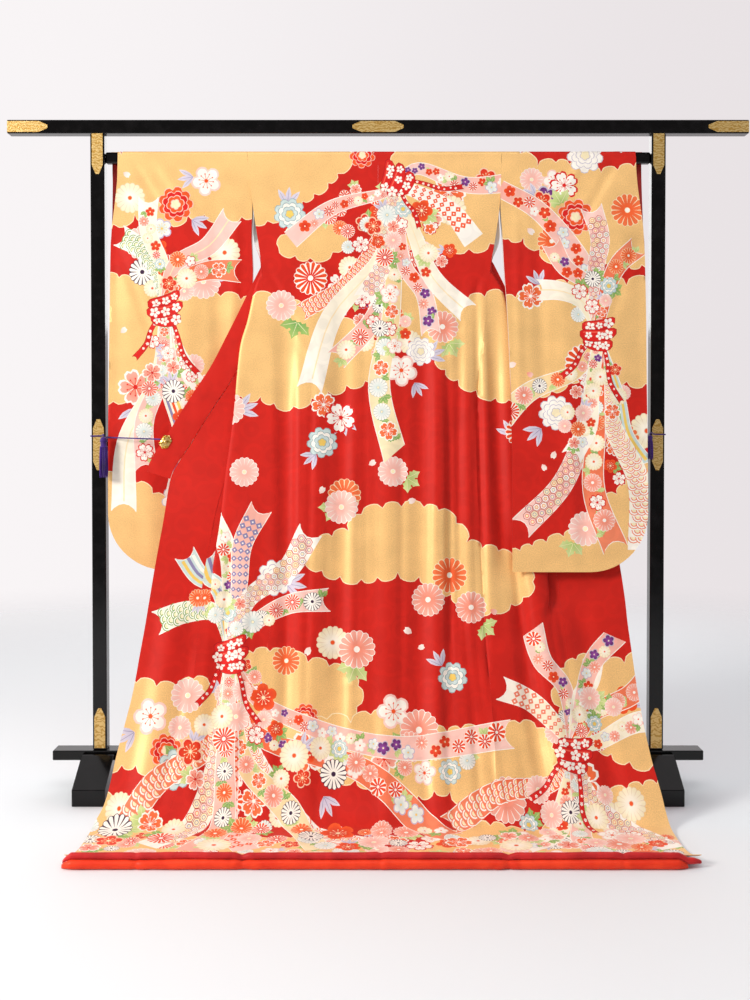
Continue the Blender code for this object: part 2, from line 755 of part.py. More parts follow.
def sleeve_wall(name, sign, sleeve, side):
    # One layer of a sleeve. The two layers meet at the bottom and at the outer edge below the cuff.
    bottom = sleeve[-1].level
    cuff_end = SHOULDER - CUFF_OPENING
    rows = []
    for level in sleeve_levels(sleeve):
        near = track(sleeve, "y_near", level)
        far = track(sleeve, "y_far", level)
        middle = (near + far) / 2
        inner = track(sleeve, "inner", level) + GAP
        outer = sleeve_outer(sleeve, level, bottom)
        closed = ramp(level, cuff_end + 50, cuff_end - 10)
        row = []
        for j in range(SLEEVE_COLUMNS + 1):
            x = mix(inner, outer, j / SLEEVE_COLUMNS)
            from_edge = (outer - x) / SEAM_PINCH
            from_bottom = (level - bottom) / SEAM_PINCH
            pinch = min(ramp(from_edge, 0, 1), 1.0)
            pinch = mix(1.0, pinch, closed) * ramp(from_bottom, -0.0001, 1)
            least = 0.2 if level >= SHOULDER else (CLOTH + GAP) / 2
            y = middle + side * max((far - near) / 2 * pinch, least)
            row.append(Vector((sign * x, y, track(PROFILE, "z", level))))
        rows.append(row)
    return cloth_wall(name, rows, CLOTH, RED_SILK)


# Hem rolls

def roll_size(roll, x):
    # The padding lies unevenly: slow waves of different length, puckers at the seams and soft ends.
    waves = 0.5 * math.sin(x / 71.0 + roll.seed)
    waves += 0.3 * math.sin(x / 33.0 + roll.seed * 2.3)
    waves += 0.2 * math.sin(x / 17.0 + roll.seed)
    pinch = 1.0
    for pucker in PUCKERS:
        pinch -= pucker.pinch * max(0.0, 1 - abs(x - pucker.x) / pucker.half_width)
    to_end = max(0.0, min(x - roll.left, roll.right - x))
    taper = math.sqrt(min(1.0, (to_end + ROLL_END / 5) / ROLL_END))
    return roll.radius * pinch * taper * (1 + 0.05 * waves)


def roll_stations(roll):
    # Both rolls are cut at the same places, so that they lie along each other.
    first = math.ceil(roll.left / ROLL_STEP + 0.5)
    last = math.floor(roll.right / ROLL_STEP - 0.5)
    stations = [k * ROLL_STEP for k in range(first, last + 1)]
    for pucker in PUCKERS:
        nearest = min(range(len(stations)), key=lambda k: abs(stations[k] - pucker.x))
        stations[nearest] = pucker.x
    return [roll.left] + stations + [roll.right]


def hem_roll(name, roll, carrier, look):
    # carrier is the roll that this one lies on, or None on the floor.
    flat = math.cos(math.pi / ROLL_SIDES)
    bm = bmesh.new()
    rings = []
    for x in roll_stations(roll):
        size = roll_size(roll, x)
        y = roll.rear - size * flat
        z = size * flat
        if carrier:
            z += 2 * roll_size(carrier, x) * flat + GAP
        ring = []
        for k in range(ROLL_SIDES):
            angle = 2 * math.pi * (k + 0.5) / ROLL_SIDES
            ring.append(bm.verts.new((x, y + size * math.sin(angle), z + size * math.cos(angle))))
        rings.append(ring)
    for before, after in zip(rings, rings[1:]):
        for k in range(ROLL_SIDES):
            n = (k + 1) % ROLL_SIDES
            bm.faces.new((before[k], before[n], after[n], after[k]))
    for ring in (rings[0], rings[-1]):
        bm.faces.new(ring)
    bmesh.ops.recalc_face_normals(bm, faces=bm.faces)
    bmesh.ops.triangulate(bm, faces=bm.faces)
    return add_object(name, bm, look, smooth=True)


# The stand

def bevel_edges(bm, width):
    bmesh.ops.bevel(bm, geom=bm.edges[:], offset=width, segments=1, profile=0.5, affect="EDGES")


def block(name, low, high, look, bevel=EDGE_BEVEL):
    bm = bmesh.new()
    bmesh.ops.create_cube(bm, size=1.0)
    size = [high[k] - low[k] for k in range(3)]
    middle = [(high[k] + low[k]) / 2 for k in range(3)]
    bmesh.ops.scale(bm, vec=size, verts=bm.verts)
    bmesh.ops.translate(bm, vec=middle, verts=bm.verts)
    bevel_edges(bm, bevel)
    return add_object(name, bm, look)


def prism(name, outline, axis, start, depth, look, bevel=0.0):
    # A flat outline in the other two axes, drawn out along the given axis.
    others = [k for k in range(3) if k != axis]
    bm = bmesh.new()
    corners = []
    for a, b in outline:
        place = [0.0, 0.0, 0.0]
        place[axis] = start
        place[others[0]] = a
        place[others[1]] = b
        corners.append(bm.verts.new(place))
    face = bm.faces.new(corners)
    moved = bmesh.ops.extrude_face_region(bm, geom=[face])
    shift = [0.0, 0.0, 0.0]
    shift[axis] = depth
    far_side = [v for v in moved["geom"] if isinstance(v, bmesh.types.BMVert)]
    bmesh.ops.translate(bm, vec=shift, verts=far_side)
    bmesh.ops.recalc_face_normals(bm, faces=bm.faces)
    if bevel:
        bevel_edges(bm, bevel)
    return add_object(name, bm, look)


def foot(name, centre_x):
    # A block that slopes down to both ends, with a notch for the lower bar.
    half = FOOT_LENGTH / 2
    flat = FOOT_FLAT / 2
    notch = BAR_BOTTOM - GAP
    outline = [
        (-half, 0.0),
        (half, 0.0),
        (half, FOOT_END_HEIGHT),
        (flat, FOOT_TOP),
        (BAR_BACK + GAP, FOOT_TOP),
        (BAR_BACK + GAP, notch),
        (BAR_FRONT - GAP, notch),
        (BAR_FRONT - GAP, FOOT_TOP),
        (-flat, FOOT_TOP),
        (-half, FOOT_END_HEIGHT),
    ]
    return prism(name, outline, 0, centre_x - FOOT_WIDTH / 2, FOOT_WIDTH, LACQUER, bevel=FOOT_BEVEL)


def gilt_plate(name, centre, length, upright, points):
    # A thin plate on a front face. points says which of its two ends narrow to a blunt tip.
    half = length / 2
    edge = PLATE_WIDTH / 2
    tip = PLATE_TIP / 2
    low = half - (PLATE_POINT if points[0] else 0)
    high = half - (PLATE_POINT if points[1] else 0)
    outline = [(-low, edge), (high, edge)]
    if points[1]:
        outline += [(half, tip), (half, -tip)]
    outline += [(high, -edge), (-low, -edge)]
    if points[0]:
        outline += [(-half, -tip), (-half, tip)]
    x, y, z = centre
    if upright:
        outline = [(x + b, z + a) for a, b in outline]
    else:
        outline = [(x + a, z + b) for a, b in outline]
    return prism(name, outline, 1, y - PLATE_THICK, PLATE_THICK, GILT)


def stand():
    half_beam = BEAM_LENGTH / 2
    beam_bottom = BEAM_TOP - BEAM_HEIGHT
    depth = BEAM_DEPTH / 2
    block("top_beam", (-half_beam, -depth, beam_bottom), (half_beam, depth, BEAM_TOP), LACQUER)
    for side, sign in (("left", -1), ("right", 1)):
        x = sign * POST_X
        low = (x - POST_WIDTH / 2, -POST_DEPTH / 2, BAR_TOP + GAP)
        high = (x + POST_WIDTH / 2, POST_DEPTH / 2, beam_bottom - GAP)
        block("post_" + side, low, high, LACQUER)
        foot("foot_" + side, x)
    reach = POST_X - POST_WIDTH / 2 - GAP
    rod = ROD_DEPTH / 2
    block("upper_rod", (-reach, -rod, ROD_TOP - ROD_HEIGHT), (reach, rod, ROD_TOP), LACQUER, bevel=ROD_BEVEL)
    rail = RAIL_HEIGHT / 2
    low = (-reach, -RAIL_DEPTH / 2, RAIL_CENTRE - rail)
    high = (reach, RAIL_DEPTH / 2, RAIL_CENTRE + rail)
    block("mid_rail", low, high, LACQUER)
    low = (-BAR_LENGTH / 2, BAR_FRONT, BAR_BOTTOM)
    high = (BAR_LENGTH / 2, BAR_BACK, BAR_TOP)
    block("lower_bar", low, high, LACQUER)
    front = -depth - GAP
    middle = BEAM_TOP - BEAM_HEIGHT / 2
    end = half_beam - PLATE_END / 2 - PLATE_INSET
    gilt_plate("plate_beam_left", (-end, front, middle), PLATE_END, False, (False, True))
    gilt_plate("plate_beam_centre", (0.0, front, middle), PLATE_MIDDLE, False, (True, True))
    gilt_plate("plate_beam_right", (end, front, middle), PLATE_END, False, (True, False))
    front = -POST_DEPTH / 2 - GAP
    for side, sign in (("left", -1), ("right", 1)):
        x = sign * POST_X
        top = beam_bottom - GAP - PLATE_END / 2
        low = BAR_TOP + GAP + PLATE_END / 2 + PLATE_RISE
        gilt_plate("plate_top_" + side, (x, front, top), PLATE_END, True, (True, False))
        gilt_plate("plate_middle_" + side, (x, front, RAIL_CENTRE), PLATE_MIDDLE, True, (True, True))
        gilt_plate("plate_bottom_" + side, (x, front, low), PLATE_END, True, (False, True))


# Ties

def smooth_route(points, step):
    # A Catmull-Rom curve through the route's points, read at even steps.
    out = []
    for i in range(len(points) - 1):
        p0 = points[max(i - 1, 0)]
        p1, p2 = points[i], points[i + 1]
        p3 = points[min(i + 2, len(points) - 1)]
        parts = max(1, round((p2 - p1).length / step))
        for k in range(parts):
            t = k / parts
            a = 2 * p1 + (p2 - p0) * t
            b = (2 * p0 - 5 * p1 + 4 * p2 - p3) * t * t
            c = (3 * p1 - p0 - 3 * p2 + p3) * t**3
            out.append((a + b + c) / 2)
    out.append(points[-1])
    return out


def tube(bm, points, radius, sides):
    rings = []
    side_way = Vector((1, 0, 0))
    for i, point in enumerate(points):
        ahead = points[min(i + 1, len(points) - 1)]
        behind = points[max(i - 1, 0)]
        along = (ahead - behind).normalized()
        side_way = (side_way - along * side_way.dot(along)).normalized()
        other = along.cross(side_way)
        ring = []
        for k in range(sides):
            angle = 2 * math.pi * k / sides
            outward = side_way * math.cos(angle) + other * math.sin(angle)
            ring.append(bm.verts.new(point + outward * radius))
        rings.append(ring)
    for before, after in zip(rings, rings[1:]):
        for k in range(sides):
            n = (k + 1) % sides
            bm.faces.new((before[k], before[n], after[n], after[k]))
    for ring in (rings[0], rings[-1]):
        bm.faces.new(ring)
    bmesh.ops.recalc_face_normals(bm, faces=bm.faces)
    bmesh.ops.triangulate(bm, faces=bm.faces)


def clip_frame(sign, fronts):
    # The place on the collar's outer edge that a clip grips, with its directions.
    rows = collar_rows(sign, fronts, 1)
    best = min(range(len(rows)), key=lambda i: abs(rows[i][1].z - CLIP_AT))
    edge = rows[best][1]
    out = (rows[best][1] - rows[best][0]).normalized()
    along = (rows[min(best + 1, len(rows) - 1)][1] - rows[best - 1][1]).normalized()
    along = (along - out * along.dot(out)).normalized()
    return edge, out, along, out.cross(along).normalized()


def collar_clip(name, sign, fronts):
    # Two jaws with a bridge beyond the collar's edge, rounded towards their ends.
    edge, out, along, normal = clip_frame(sign, fronts)
    inside = COLLAR_THICK / 2 + 1.5 * GAP
    outside = inside + CLIP_JAW
    start = 4 * GAP
    end = start + CLIP_BRIDGE
    profile = (
        (-CLIP_REACH, inside),
        (start, inside),
        (start, -inside),
        (-CLIP_REACH, -inside),
        (-CLIP_REACH, -outside),
        (end, -outside),
        (end, outside),
        (-CLIP_REACH, outside),
    )
    bm = bmesh.new()
    rings = []
    for cut in CLIP_SLICES:
        ring = []
        for reach, height in profile:
            place = edge + along * (CLIP_LENGTH * cut.share)
            place += out * (reach * cut.size if reach < 0 else reach)
            place += normal * height
            ring.append(bm.verts.new(place))
        rings.append(ring)
    count = len(profile)
    for before, after in zip(rings, rings[1:]):
        for k in range(count):
            n = (k + 1) % count
            bm.faces.new((before[k], before[n], after[n], after[k]))
    for ring in (rings[0], rings[-1]):
        bm.faces.new(ring)
    bmesh.ops.recalc_face_normals(bm, faces=bm.faces)
    bmesh.ops.triangulate(bm, faces=bm.faces)
    add_object(name, bm, GILT)
    return edge + out * end


def tie_cord(name, sign, level, tassel_at, target):
    # From the tassel's head to the post, once round it, then taut to the clip.
    half = POST_WIDTH / 2 + CORD_RADIUS + GAP
    deep = POST_DEPTH / 2 + CORD_RADIUS + GAP
    front = deep + PLATE_THICK + GAP
    sixth = (2 * CORD_RADIUS + 1.0) / 6
    # across runs from the post's outer side to its inner side, and rise counts sixths of the pitch.
    turns = (
        Bend(-half + CORD_BEND, -front - GAP, 2),
        Bend(-half + CORD_EASE, -deep + CORD_EASE, 2),
        Bend(-half, -deep + CORD_BEND, 2),
        Bend(-half, deep - CORD_BEND, 1),
        Bend(-half + CORD_EASE, deep - CORD_EASE, 1),
        Bend(-half + CORD_BEND, deep, 1),
        Bend(half - CORD_BEND, deep, -1),
        Bend(half - CORD_EASE, deep - CORD_EASE, -1),
        Bend(half, deep - CORD_BEND, -1),
        Bend(half, -deep + CORD_BEND, -2),
        Bend(half - 1.1, -deep - 2.2, -2),
    )
    head = Vector((tassel_at.x, tassel_at.y, tassel_at.top + GAP))
    first = Vector((sign * (POST_X - 8.0), -front - GAP, level + 3 * sixth))
    lift = Vector((0, 0, 4.5))
    points = [head, head + lift, head.lerp(first, 0.5) + lift, first]
    for turn in turns:
        points.append(Vector((sign * (POST_X - turn.across), turn.y, level + turn.rise * sixth)))
    last = points[-1]
    towards = (target - last).normalized()
    points.append(last.lerp(target, 0.3))
    points.append(last.lerp(target, 0.65))
    points.append(target - towards)
    bm = bmesh.new()
    tube(bm, smooth_route(points, CORD_STEP), CORD_RADIUS, CORD_SIDES)
    return add_object(name, bm, PURPLE, smooth=True)


def tassel(name, size):
    # A bound head whose underside is a grid of cells, each drawn down into a strand that stands apart.
    head = size.length * 0.24
    radius = size.radius
    cells = size.cells
    bm = bmesh.new()
    bmesh.ops.create_grid(bm, x_segments=cells, y_segments=cells, size=1.0)
    for vert in bm.verts:
        a, b = vert.co.x, vert.co.y
        vert.co.x = a * math.sqrt(1 - b * b / 2) * radius
        vert.co.y = b * math.sqrt(1 - a * a / 2) * radius
    underside = bm.faces[:]
    caps = underside
    for rise, narrow in ((0.55, 0.66), (0.45, 0.7)):
        region = bmesh.ops.extrude_face_region(bm, geom=caps)
        if caps is not underside:
            bmesh.ops.delete(bm, geom=caps, context="FACES")
        cap = [v for v in region["geom"] if isinstance(v, bmesh.types.BMVert)]
        caps = [f for f in region["geom"] if isinstance(f, bmesh.types.BMFace)]
        bmesh.ops.translate(bm, vec=(0, 0, head * rise), verts=cap)
        bmesh.ops.scale(bm, vec=(narrow, narrow, 1), verts=cap)
    bmesh.ops.recalc_face_normals(bm, faces=bm.faces)
    bmesh.ops.inset_individual(bm, faces=underside, thickness=radius / cells * 0.22)
    strands = underside
    drop = (size.length - head) / 2
    for step in range(2):
        strands = bmesh.ops.extrude_discrete_faces(bm, faces=strands)["faces"]
        for index, face in enumerate(strands):
            middle = face.calc_center_median()
            fall = drop * (1 + 0.04 * math.sin(index * 1.7))
            spread = Vector((middle.x * 0.08, middle.y * 0.08, -fall))
            bmesh.ops.translate(bm, vec=spread, verts=face.verts)
    bmesh.ops.translate(bm, vec=(size.x, size.y, size.top - head), verts=bm.verts)
    bmesh.ops.recalc_face_normals(bm, faces=bm.faces)
    bmesh.ops.triangulate(bm, faces=bm.faces)
    return add_object(name, bm, PURPLE)


def ties():
    left = collar_clip("collar_clip_left", -1, LEFT_FRONT)
    right = collar_clip("collar_clip_right", 1, RIGHT_FRONT)
    tie_cord("tie_cord_left", -1, LEFT_TIE_LEVEL, LEFT_TASSEL, left)
    tie_cord("tie_cord_right", 1, RIGHT_TIE_LEVEL, RIGHT_TASSEL, right)
    tassel("tassel_left", LEFT_TASSEL)
    tassel("tassel_right", RIGHT_TASSEL)


def garment():
    halves = (
        ("left", -1, LEFT_FRONT, LEFT_SLEEVE),
        ("right", 1, RIGHT_FRONT, RIGHT_SLEEVE),
    )
    for side, sign, fronts, sleeve in halves:
        back_panel("back_" + side, sign, fronts)
        front_panel("front_" + side, sign, fronts)
        okumi_panel("okumi_" + side, sign, fronts)
        collar_half("collar_" + side, sign, fronts)
        sleeve_wall("sleeve_" + side + "_near", sign, sleeve, -1)
        sleeve_wall("sleeve_" + side + "_far", sign, sleeve, 1)
    hem_roll("hem_roll_lower", LOWER_ROLL, None, VERMILION)
    hem_roll("hem_roll_upper", UPPER_ROLL, LOWER_ROLL, DEEP_RED)


def centre_on_origin():
    # The origin is the middle of the whole box's underside.
    bpy.context.view_layer.update()
    meshes = [piece for piece in bpy.context.scene.objects if piece.type == "MESH"]
    corners = [piece.matrix_world @ vert.co for piece in meshes for vert in piece.data.vertices]
    middle = [(min(c[k] for c in corners) + max(c[k] for c in corners)) / 2 for k in range(2)]
    bottom = min(c.z for c in corners)
    for piece in meshes:
        piece.location = (-middle[0], -middle[1], -bottom)


def main():
    for existing in list(bpy.data.objects):
        bpy.data.objects.remove(existing)
    stand()
    garment()
    ties()
    centre_on_origin()


main()
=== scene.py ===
# A long-sleeved furisode with gilt clouds, ribbon bundles and blossoms, seen from behind on a lacquered
# stand. Sizes are in millimetres, in the stand's own frame: X along the beam, -Y to the viewer, Z up.

import math
import random
from collections import namedtuple

import bmesh
import bpy
import numpy as np
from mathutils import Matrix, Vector
from mathutils.bvhtree import BVHTree
from mathutils.geometry import delaunay_2d_cdt


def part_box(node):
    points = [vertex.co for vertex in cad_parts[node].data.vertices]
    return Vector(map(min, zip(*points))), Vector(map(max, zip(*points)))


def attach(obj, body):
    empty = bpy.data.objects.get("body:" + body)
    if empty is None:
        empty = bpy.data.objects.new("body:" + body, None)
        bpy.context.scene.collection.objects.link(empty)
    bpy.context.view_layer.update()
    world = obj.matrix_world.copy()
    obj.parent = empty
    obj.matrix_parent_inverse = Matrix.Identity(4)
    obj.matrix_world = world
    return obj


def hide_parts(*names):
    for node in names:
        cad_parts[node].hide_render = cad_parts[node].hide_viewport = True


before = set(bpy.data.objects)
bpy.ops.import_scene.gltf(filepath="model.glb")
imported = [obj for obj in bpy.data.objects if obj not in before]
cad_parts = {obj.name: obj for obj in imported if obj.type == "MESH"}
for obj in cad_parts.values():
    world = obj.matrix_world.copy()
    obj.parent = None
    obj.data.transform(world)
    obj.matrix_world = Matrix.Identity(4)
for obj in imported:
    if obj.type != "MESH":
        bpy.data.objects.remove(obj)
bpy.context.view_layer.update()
millimetre = 0.001
beamLow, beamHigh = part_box("top_beam")
standX = (beamLow[0] + beamHigh[0]) / 2  # the stand's middle, in metres, in the shared frame
standY = (beamLow[1] + beamHigh[1]) / 2
scene = bpy.context.scene


def rowsOf(kind, rows):
    # a table whose columns have names
    return tuple(kind(*row) for row in rows)


def inFrame(points):
    # millimetres in the stand's frame become metres in the shared frame
    return np.asarray(points, dtype=float) * millimetre + np.array((standX, standY, 0.0))


def linearColour(hexColour):
    channels = [int(hexColour[i : i + 2], 16) / 255 for i in (1, 3, 5)]
    return tuple(c / 12.92 if c <= 0.04045 else ((c + 0.055) / 1.055) ** 2.4 for c in channels) + (1.0,)


def addNode(material, kind, settings=None, links=None):
    # settings: property or socket values by name; links: input socket name to (node, output name)
    node = material.node_tree.nodes.new("ShaderNode" + kind)
    for name, value in (settings or {}).items():
        if isinstance(name, str) and hasattr(node, name):
            setattr(node, name, value)
        else:
            node.inputs[name].default_value = value
    for name, (source, output) in (links or {}).items():
        material.node_tree.links.new(source.outputs[output], node.inputs[name])
    return node


def newMaterial(name, settings):
    material = bpy.data.materials.new(name)
    material.use_nodes = True
    shader = material.node_tree.nodes["Principled BSDF"]
    for socket, value in settings.items():
        shader.inputs[socket].default_value = value
    return material, shader


def plug(material, source, output, shader, socket):
    material.node_tree.links.new(source.outputs[output], shader.inputs[socket])


def colourRamp(material, stops, source, output="Fac"):
    # stops: (place, value or hex colour)
    ramp = addNode(material, "ValToRGB", {}, {"Fac": (source, output)})
    elements = ramp.color_ramp.elements
    while len(elements) < len(stops):
        elements.new(0.5)
    for element, (place, colour) in zip(elements, stops):
        element.position = place
        element.color = linearColour(colour) if isinstance(colour, str) else (colour, colour, colour, 1.0)
    return ramp


def addPiece(name, mesh, materials, node):
    piece = bpy.data.objects.new(name, mesh)
    scene.collection.objects.link(piece)
    for material in materials:
        mesh.materials.append(material)
    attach(piece, "root")
    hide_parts(node)
    return piece


def fromBmesh(node, ending, bm, material, sharpFrom):
    # a finished piece in a node's place, smooth but for edges sharper than some degrees
    bmesh.ops.recalc_face_normals(bm, faces=bm.faces)
    mesh = bpy.data.meshes.new(node + ending)
    bm.to_mesh(mesh)
    bm.free()
    mesh.shade_smooth()
    mesh.set_sharp_from_angle(angle=math.radians(sharpFrom))
    return addPiece(node + ending, mesh, [material], node)


def loft(bm, rings):
    # a skin over rings of places in millimetres, closed at both ends
    loops = [[bm.verts.new(spot) for spot in inFrame([tuple(spot) for spot in ring])] for ring in rings]
    for before, after in zip(loops, loops[1:]):
        for k in range(len(before)):
            n = (k + 1) % len(before)
            bm.faces.new((before[k], before[n], after[n], after[k]))
    for loop in (loops[0], loops[-1]):
        bm.faces.new(loop)


def curvePoint(before, start, end, after, t):
    # a smooth curve from start to end, aimed by the points before and after them
    bow = (2 * before - 5 * start + 4 * end - after) * t**2
    return 0.5 * (2 * start + (end - before) * t + bow + (3 * start - before - 3 * end + after) * t**3)


def easedCurve(start, end, startSlope, endSlope, t):
    # a smooth curve between two values with given slopes at its ends
    return (start * (1 + 2 * t) * (1 - t) ** 2 + startSlope * t * (1 - t) ** 2
            + end * t * t * (3 - 2 * t) + endSlope * t * t * (t - 1))


# Camera, floor and light

view = {
    "distance": 3200.0,  # from the camera to the stand's plane
    "height": 927.0,
    "aside": -7.5,
    "lens": 46.08,
    "tiltDown": 1.2,  # degrees
    "shiftDown": 0.053,
    "sensor": 36.0,
    "farthest": 60.0,  # metres
}


def makeCamera():
    camera = bpy.data.cameras.new("camera")
    camera.lens = view["lens"]
    camera.sensor_width = view["sensor"]
    camera.clip_end = view["farthest"]
    camera.shift_y = -view["shiftDown"]
    holder = bpy.data.objects.new("camera", camera)
    scene.collection.objects.link(holder)
    holder.location = inFrame((view["aside"], -view["distance"], view["height"]))
    holder.rotation_euler = (math.radians(90 - view["tiltDown"]), 0, 0)
    scene.camera = holder


stage = {
    "floorRadius": 7.0,  # metres
    "floorSides": 96,
    "floorDrop": 0.0004,  # below the feet, so that no two faces share a plane
    "floorRoughness": 0.85,
    "fadeStart": 1.9,
    "fadeEnd": 4.6,
    "floorColour": "#e3e8eb",
    "skyLeft": "#f9f5f6",
    "skyRight": "#e9e3e5",
    "skyTurn": 0.3,  # how far to each side the backdrop goes from one colour to the other
    "skyStrength": 1.0,
    "roomShare": 0.24,  # how bright the room on the viewer's side is, against the backdrop
    "roomFrom": -0.35,
    "roomTo": 0.15,
}


def makeFloor():
    # a pale round floor that fades out towards its rim, so that it shows no edge against the backdrop
    bm = bmesh.new()
    bmesh.ops.create_circle(bm, cap_ends=True, segments=stage["floorSides"], radius=stage["floorRadius"])
    mesh = bpy.data.meshes.new("floor")
    bmesh.ops.translate(bm, vec=(0, 0, -stage["floorDrop"]), verts=bm.verts)
    bm.to_mesh(mesh)
    bm.free()
    floor = bpy.data.objects.new("floor", mesh)
    scene.collection.objects.link(floor)
    material, shader = newMaterial("matte paper floor", {
        "Base Color": linearColour(stage["floorColour"]), "Roughness": stage["floorRoughness"],
    })
    where = addNode(material, "TexCoord")
    reach = addNode(material, "VectorMath", {"operation": "LENGTH"}, {0: (where, "Object")})
    fade = addNode(material, "MapRange", {
        "interpolation_type": "SMOOTHSTEP", "From Min": stage["fadeStart"], "From Max": stage["fadeEnd"],
        "To Min": 1.0, "To Max": 0.0,
    }, {"Value": (reach, "Value")})
    plug(material, fade, "Result", shader, "Alpha")
    mesh.materials.append(material)


def makeWorld():
    # a pale studio backdrop, lighter on the left, as a colour by direction
    world = bpy.data.worlds.new("studio")
    world.use_nodes = True
    scene.world = world
    where = addNode(world, "TexCoord")
    apart = addNode(world, "SeparateXYZ", {}, {"Vector": (where, "Generated")})
    blend = addNode(world, "MapRange", {
        "interpolation_type": "SMOOTHSTEP", "From Min": -stage["skyTurn"], "From Max": stage["skyTurn"],
    }, {"Value": (apart, "X")})
    ramp = colourRamp(world, ((0.0, stage["skyLeft"]), (1.0, stage["skyRight"])), blend, "Result")
    room = addNode(world, "MapRange", {
        "interpolation_type": "SMOOTHSTEP", "From Min": stage["roomFrom"], "From Max": stage["roomTo"],
        "To Min": stage["roomShare"],
    }, {"Value": (apart, "Y")})
    lit = addNode(world, "VectorMath", {"operation": "SCALE"},
                  {0: (ramp, "Color"), "Scale": (room, "Result")})
    background = world.node_tree.nodes["Background"]
    background.inputs["Strength"].default_value = stage["skyStrength"]
    plug(world, lit, "Vector", background, "Color")


Lamp = namedtuple("Lamp", "name place target width height power colour")
lamps = rowsOf(Lamp, (
    ("keyWindow", (-3.7, -2.45, 2.5), (0.0, 0.1, 0.8), 1.2, 1.4, 196.0, "#fff8f2"),
    ("fillPanel", (2.9, -3.0, 1.6), (0.1, 0.1, 0.8), 2.2, 2.2, 11.0, "#f2f4ff"),
    ("topPanel", (0.0, -1.6, 3.6), (0.0, -0.2, 0.3), 2.4, 1.4, 30.0, "#ffffff"),
    ("backPanel", (0.4, 3.4, 2.4), (0.0, 0.1, 0.8), 2.2, 2.2, 30.0, "#ffffff"),
))


def makeLights():
    for lamp in lamps:
        light = bpy.data.lights.new(lamp.name, "AREA")
        light.shape = "RECTANGLE"
        light.size = lamp.width
        light.size_y = lamp.height
        light.energy = lamp.power
        light.color = linearColour(lamp.colour)[:3]
        holder = bpy.data.objects.new(lamp.name, light)
        scene.collection.objects.link(holder)
        holder.location = lamp.place
        aim = Vector(lamp.target) - Vector(lamp.place)
        holder.rotation_euler = aim.to_track_quat("-Z", "Y").to_euler()


scene.view_settings.view_transform = "Standard"
makeCamera()
makeFloor()
makeWorld()
makeLights()
print("camera, floor and light are set")


# The stand: its solids stay, and take lacquer and gilt

lacquerLook = {
    "colour": "#060505",
    "dust": "#121011",
    "coat": 0.1,
    "coatRoughness": 0.04,
    "shine": 0.24,
    "roughness": 0.1,
    "dusty": 0.14,  # how much rougher it is under dust
    "dustGrain": 24.0,  # mm from one patch of dust to the next
    "wavesPerMetre": 9.0,  # the slow waves of a rubbed coat
    "waveDepth": 0.05,
}


def blackLacquer():
    # urushi lacquer over wood, rubbed and polished: near black, with a wet gloss and a trace of dust
    look = lacquerLook
    material, shader = newMaterial("black urushi lacquer, polished", {
        "Base Color": linearColour(look["colour"]), "Roughness": look["roughness"],
        "Coat Weight": look["coat"], "Coat Roughness": look["coatRoughness"],
        "Specular IOR Level": look["shine"],
    })
    where = addNode(material, "TexCoord")
    grain = addNode(material, "TexNoise", {"Scale": 1000 / look["dustGrain"], "Detail": 6.0},
                    {"Vector": (where, "Object")})
    dust = colourRamp(material, ((0.45, look["colour"]), (0.9, look["dust"])), grain)
    plug(material, dust, "Color", shader, "Base Color")
    waves = addNode(material, "TexNoise", {"Scale": look["wavesPerMetre"], "Detail": 1.0},
                    {"Vector": (where, "Object")})
    bump = addNode(material, "Bump", {"Strength": look["waveDepth"], "Distance": 0.002},
                   {"Height": (waves, "Fac")})
    plug(material, bump, "Normal", shader, "Normal")
    gloss = colourRamp(material, ((0.3, look["roughness"]), (0.8, look["roughness"] + look["dusty"])), grain)
    plug(material, gloss, "Color", shader, "Roughness")
    return material


giltMetal = 0.82
engraving = 0.35
giltLook = {"light": "#e6c682", "dark": "#c79b4c", "roughness": 0.42, "scrollWidth": 3.4, "speck": 1.2}


def engravedGilt(name, look):
    # gilt brass sheet, hammered with a fine scroll: a soft gold with darker, duller engraved lines
    material, shader = newMaterial(name, {"Metallic": giltMetal, "Roughness": look["roughness"]})
    where = addNode(material, "TexCoord")
    bend = addNode(material, "TexNoise", {"Scale": 1000 / look["scrollWidth"] / 1.6, "Detail": 2.0},
                   {"Vector": (where, "Object")})
    scroll = addNode(material, "TexWave", {
        "wave_type": "RINGS", "Scale": 1000 / look["scrollWidth"] / 6.5, "Distortion": 9.0, "Detail": 1.0,
        "Detail Scale": 2.0,
    }, {"Vector": (where, "Object")})
    specks = addNode(material, "TexVoronoi", {"Scale": 1000 / look["speck"] / 2},
                     {"Vector": (where, "Object")})
    both = addNode(material, "Math", {"operation": "MULTIPLY"}, {0: (scroll, "Fac"), 1: (bend, "Fac")})
    tone = colourRamp(material, ((0.05, look["dark"]), (0.34, look["light"])), both, "Value")
    plug(material, tone, "Color", shader, "Base Color")
    height = addNode(material, "Math", {"operation": "ADD"}, {0: (both, "Value"), 1: (specks, "Distance")})
    bump = addNode(material, "Bump", {"Strength": engraving, "Distance": 0.0005},
                   {"Height": (height, "Value")})
    plug(material, bump, "Normal", shader, "Normal")
    return material


lacquer = blackLacquer()
gilt = engravedGilt("gilt brass plate, engraved", giltLook)
standNodes = ("top_beam", "post_left", "post_right", "foot_left", "foot_right", "upper_rod", "mid_rail",
              "lower_bar")
plateNodes = ["plate_beam_left", "plate_beam_centre", "plate_beam_right"]
plateNodes += ["plate_%s_%s" % (place, side) for place in ("top", "middle", "bottom")
               for side in ("left", "right")]
for names, material in ((standNodes, lacquer), (plateNodes, gilt)):
    for name in names:
        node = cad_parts[name]
        node.data.materials.clear()
        node.data.materials.append(material)
print("the stand has its lacquer and gilt")

# The cloth's form: the same tables as the solids, read as smooth tracks

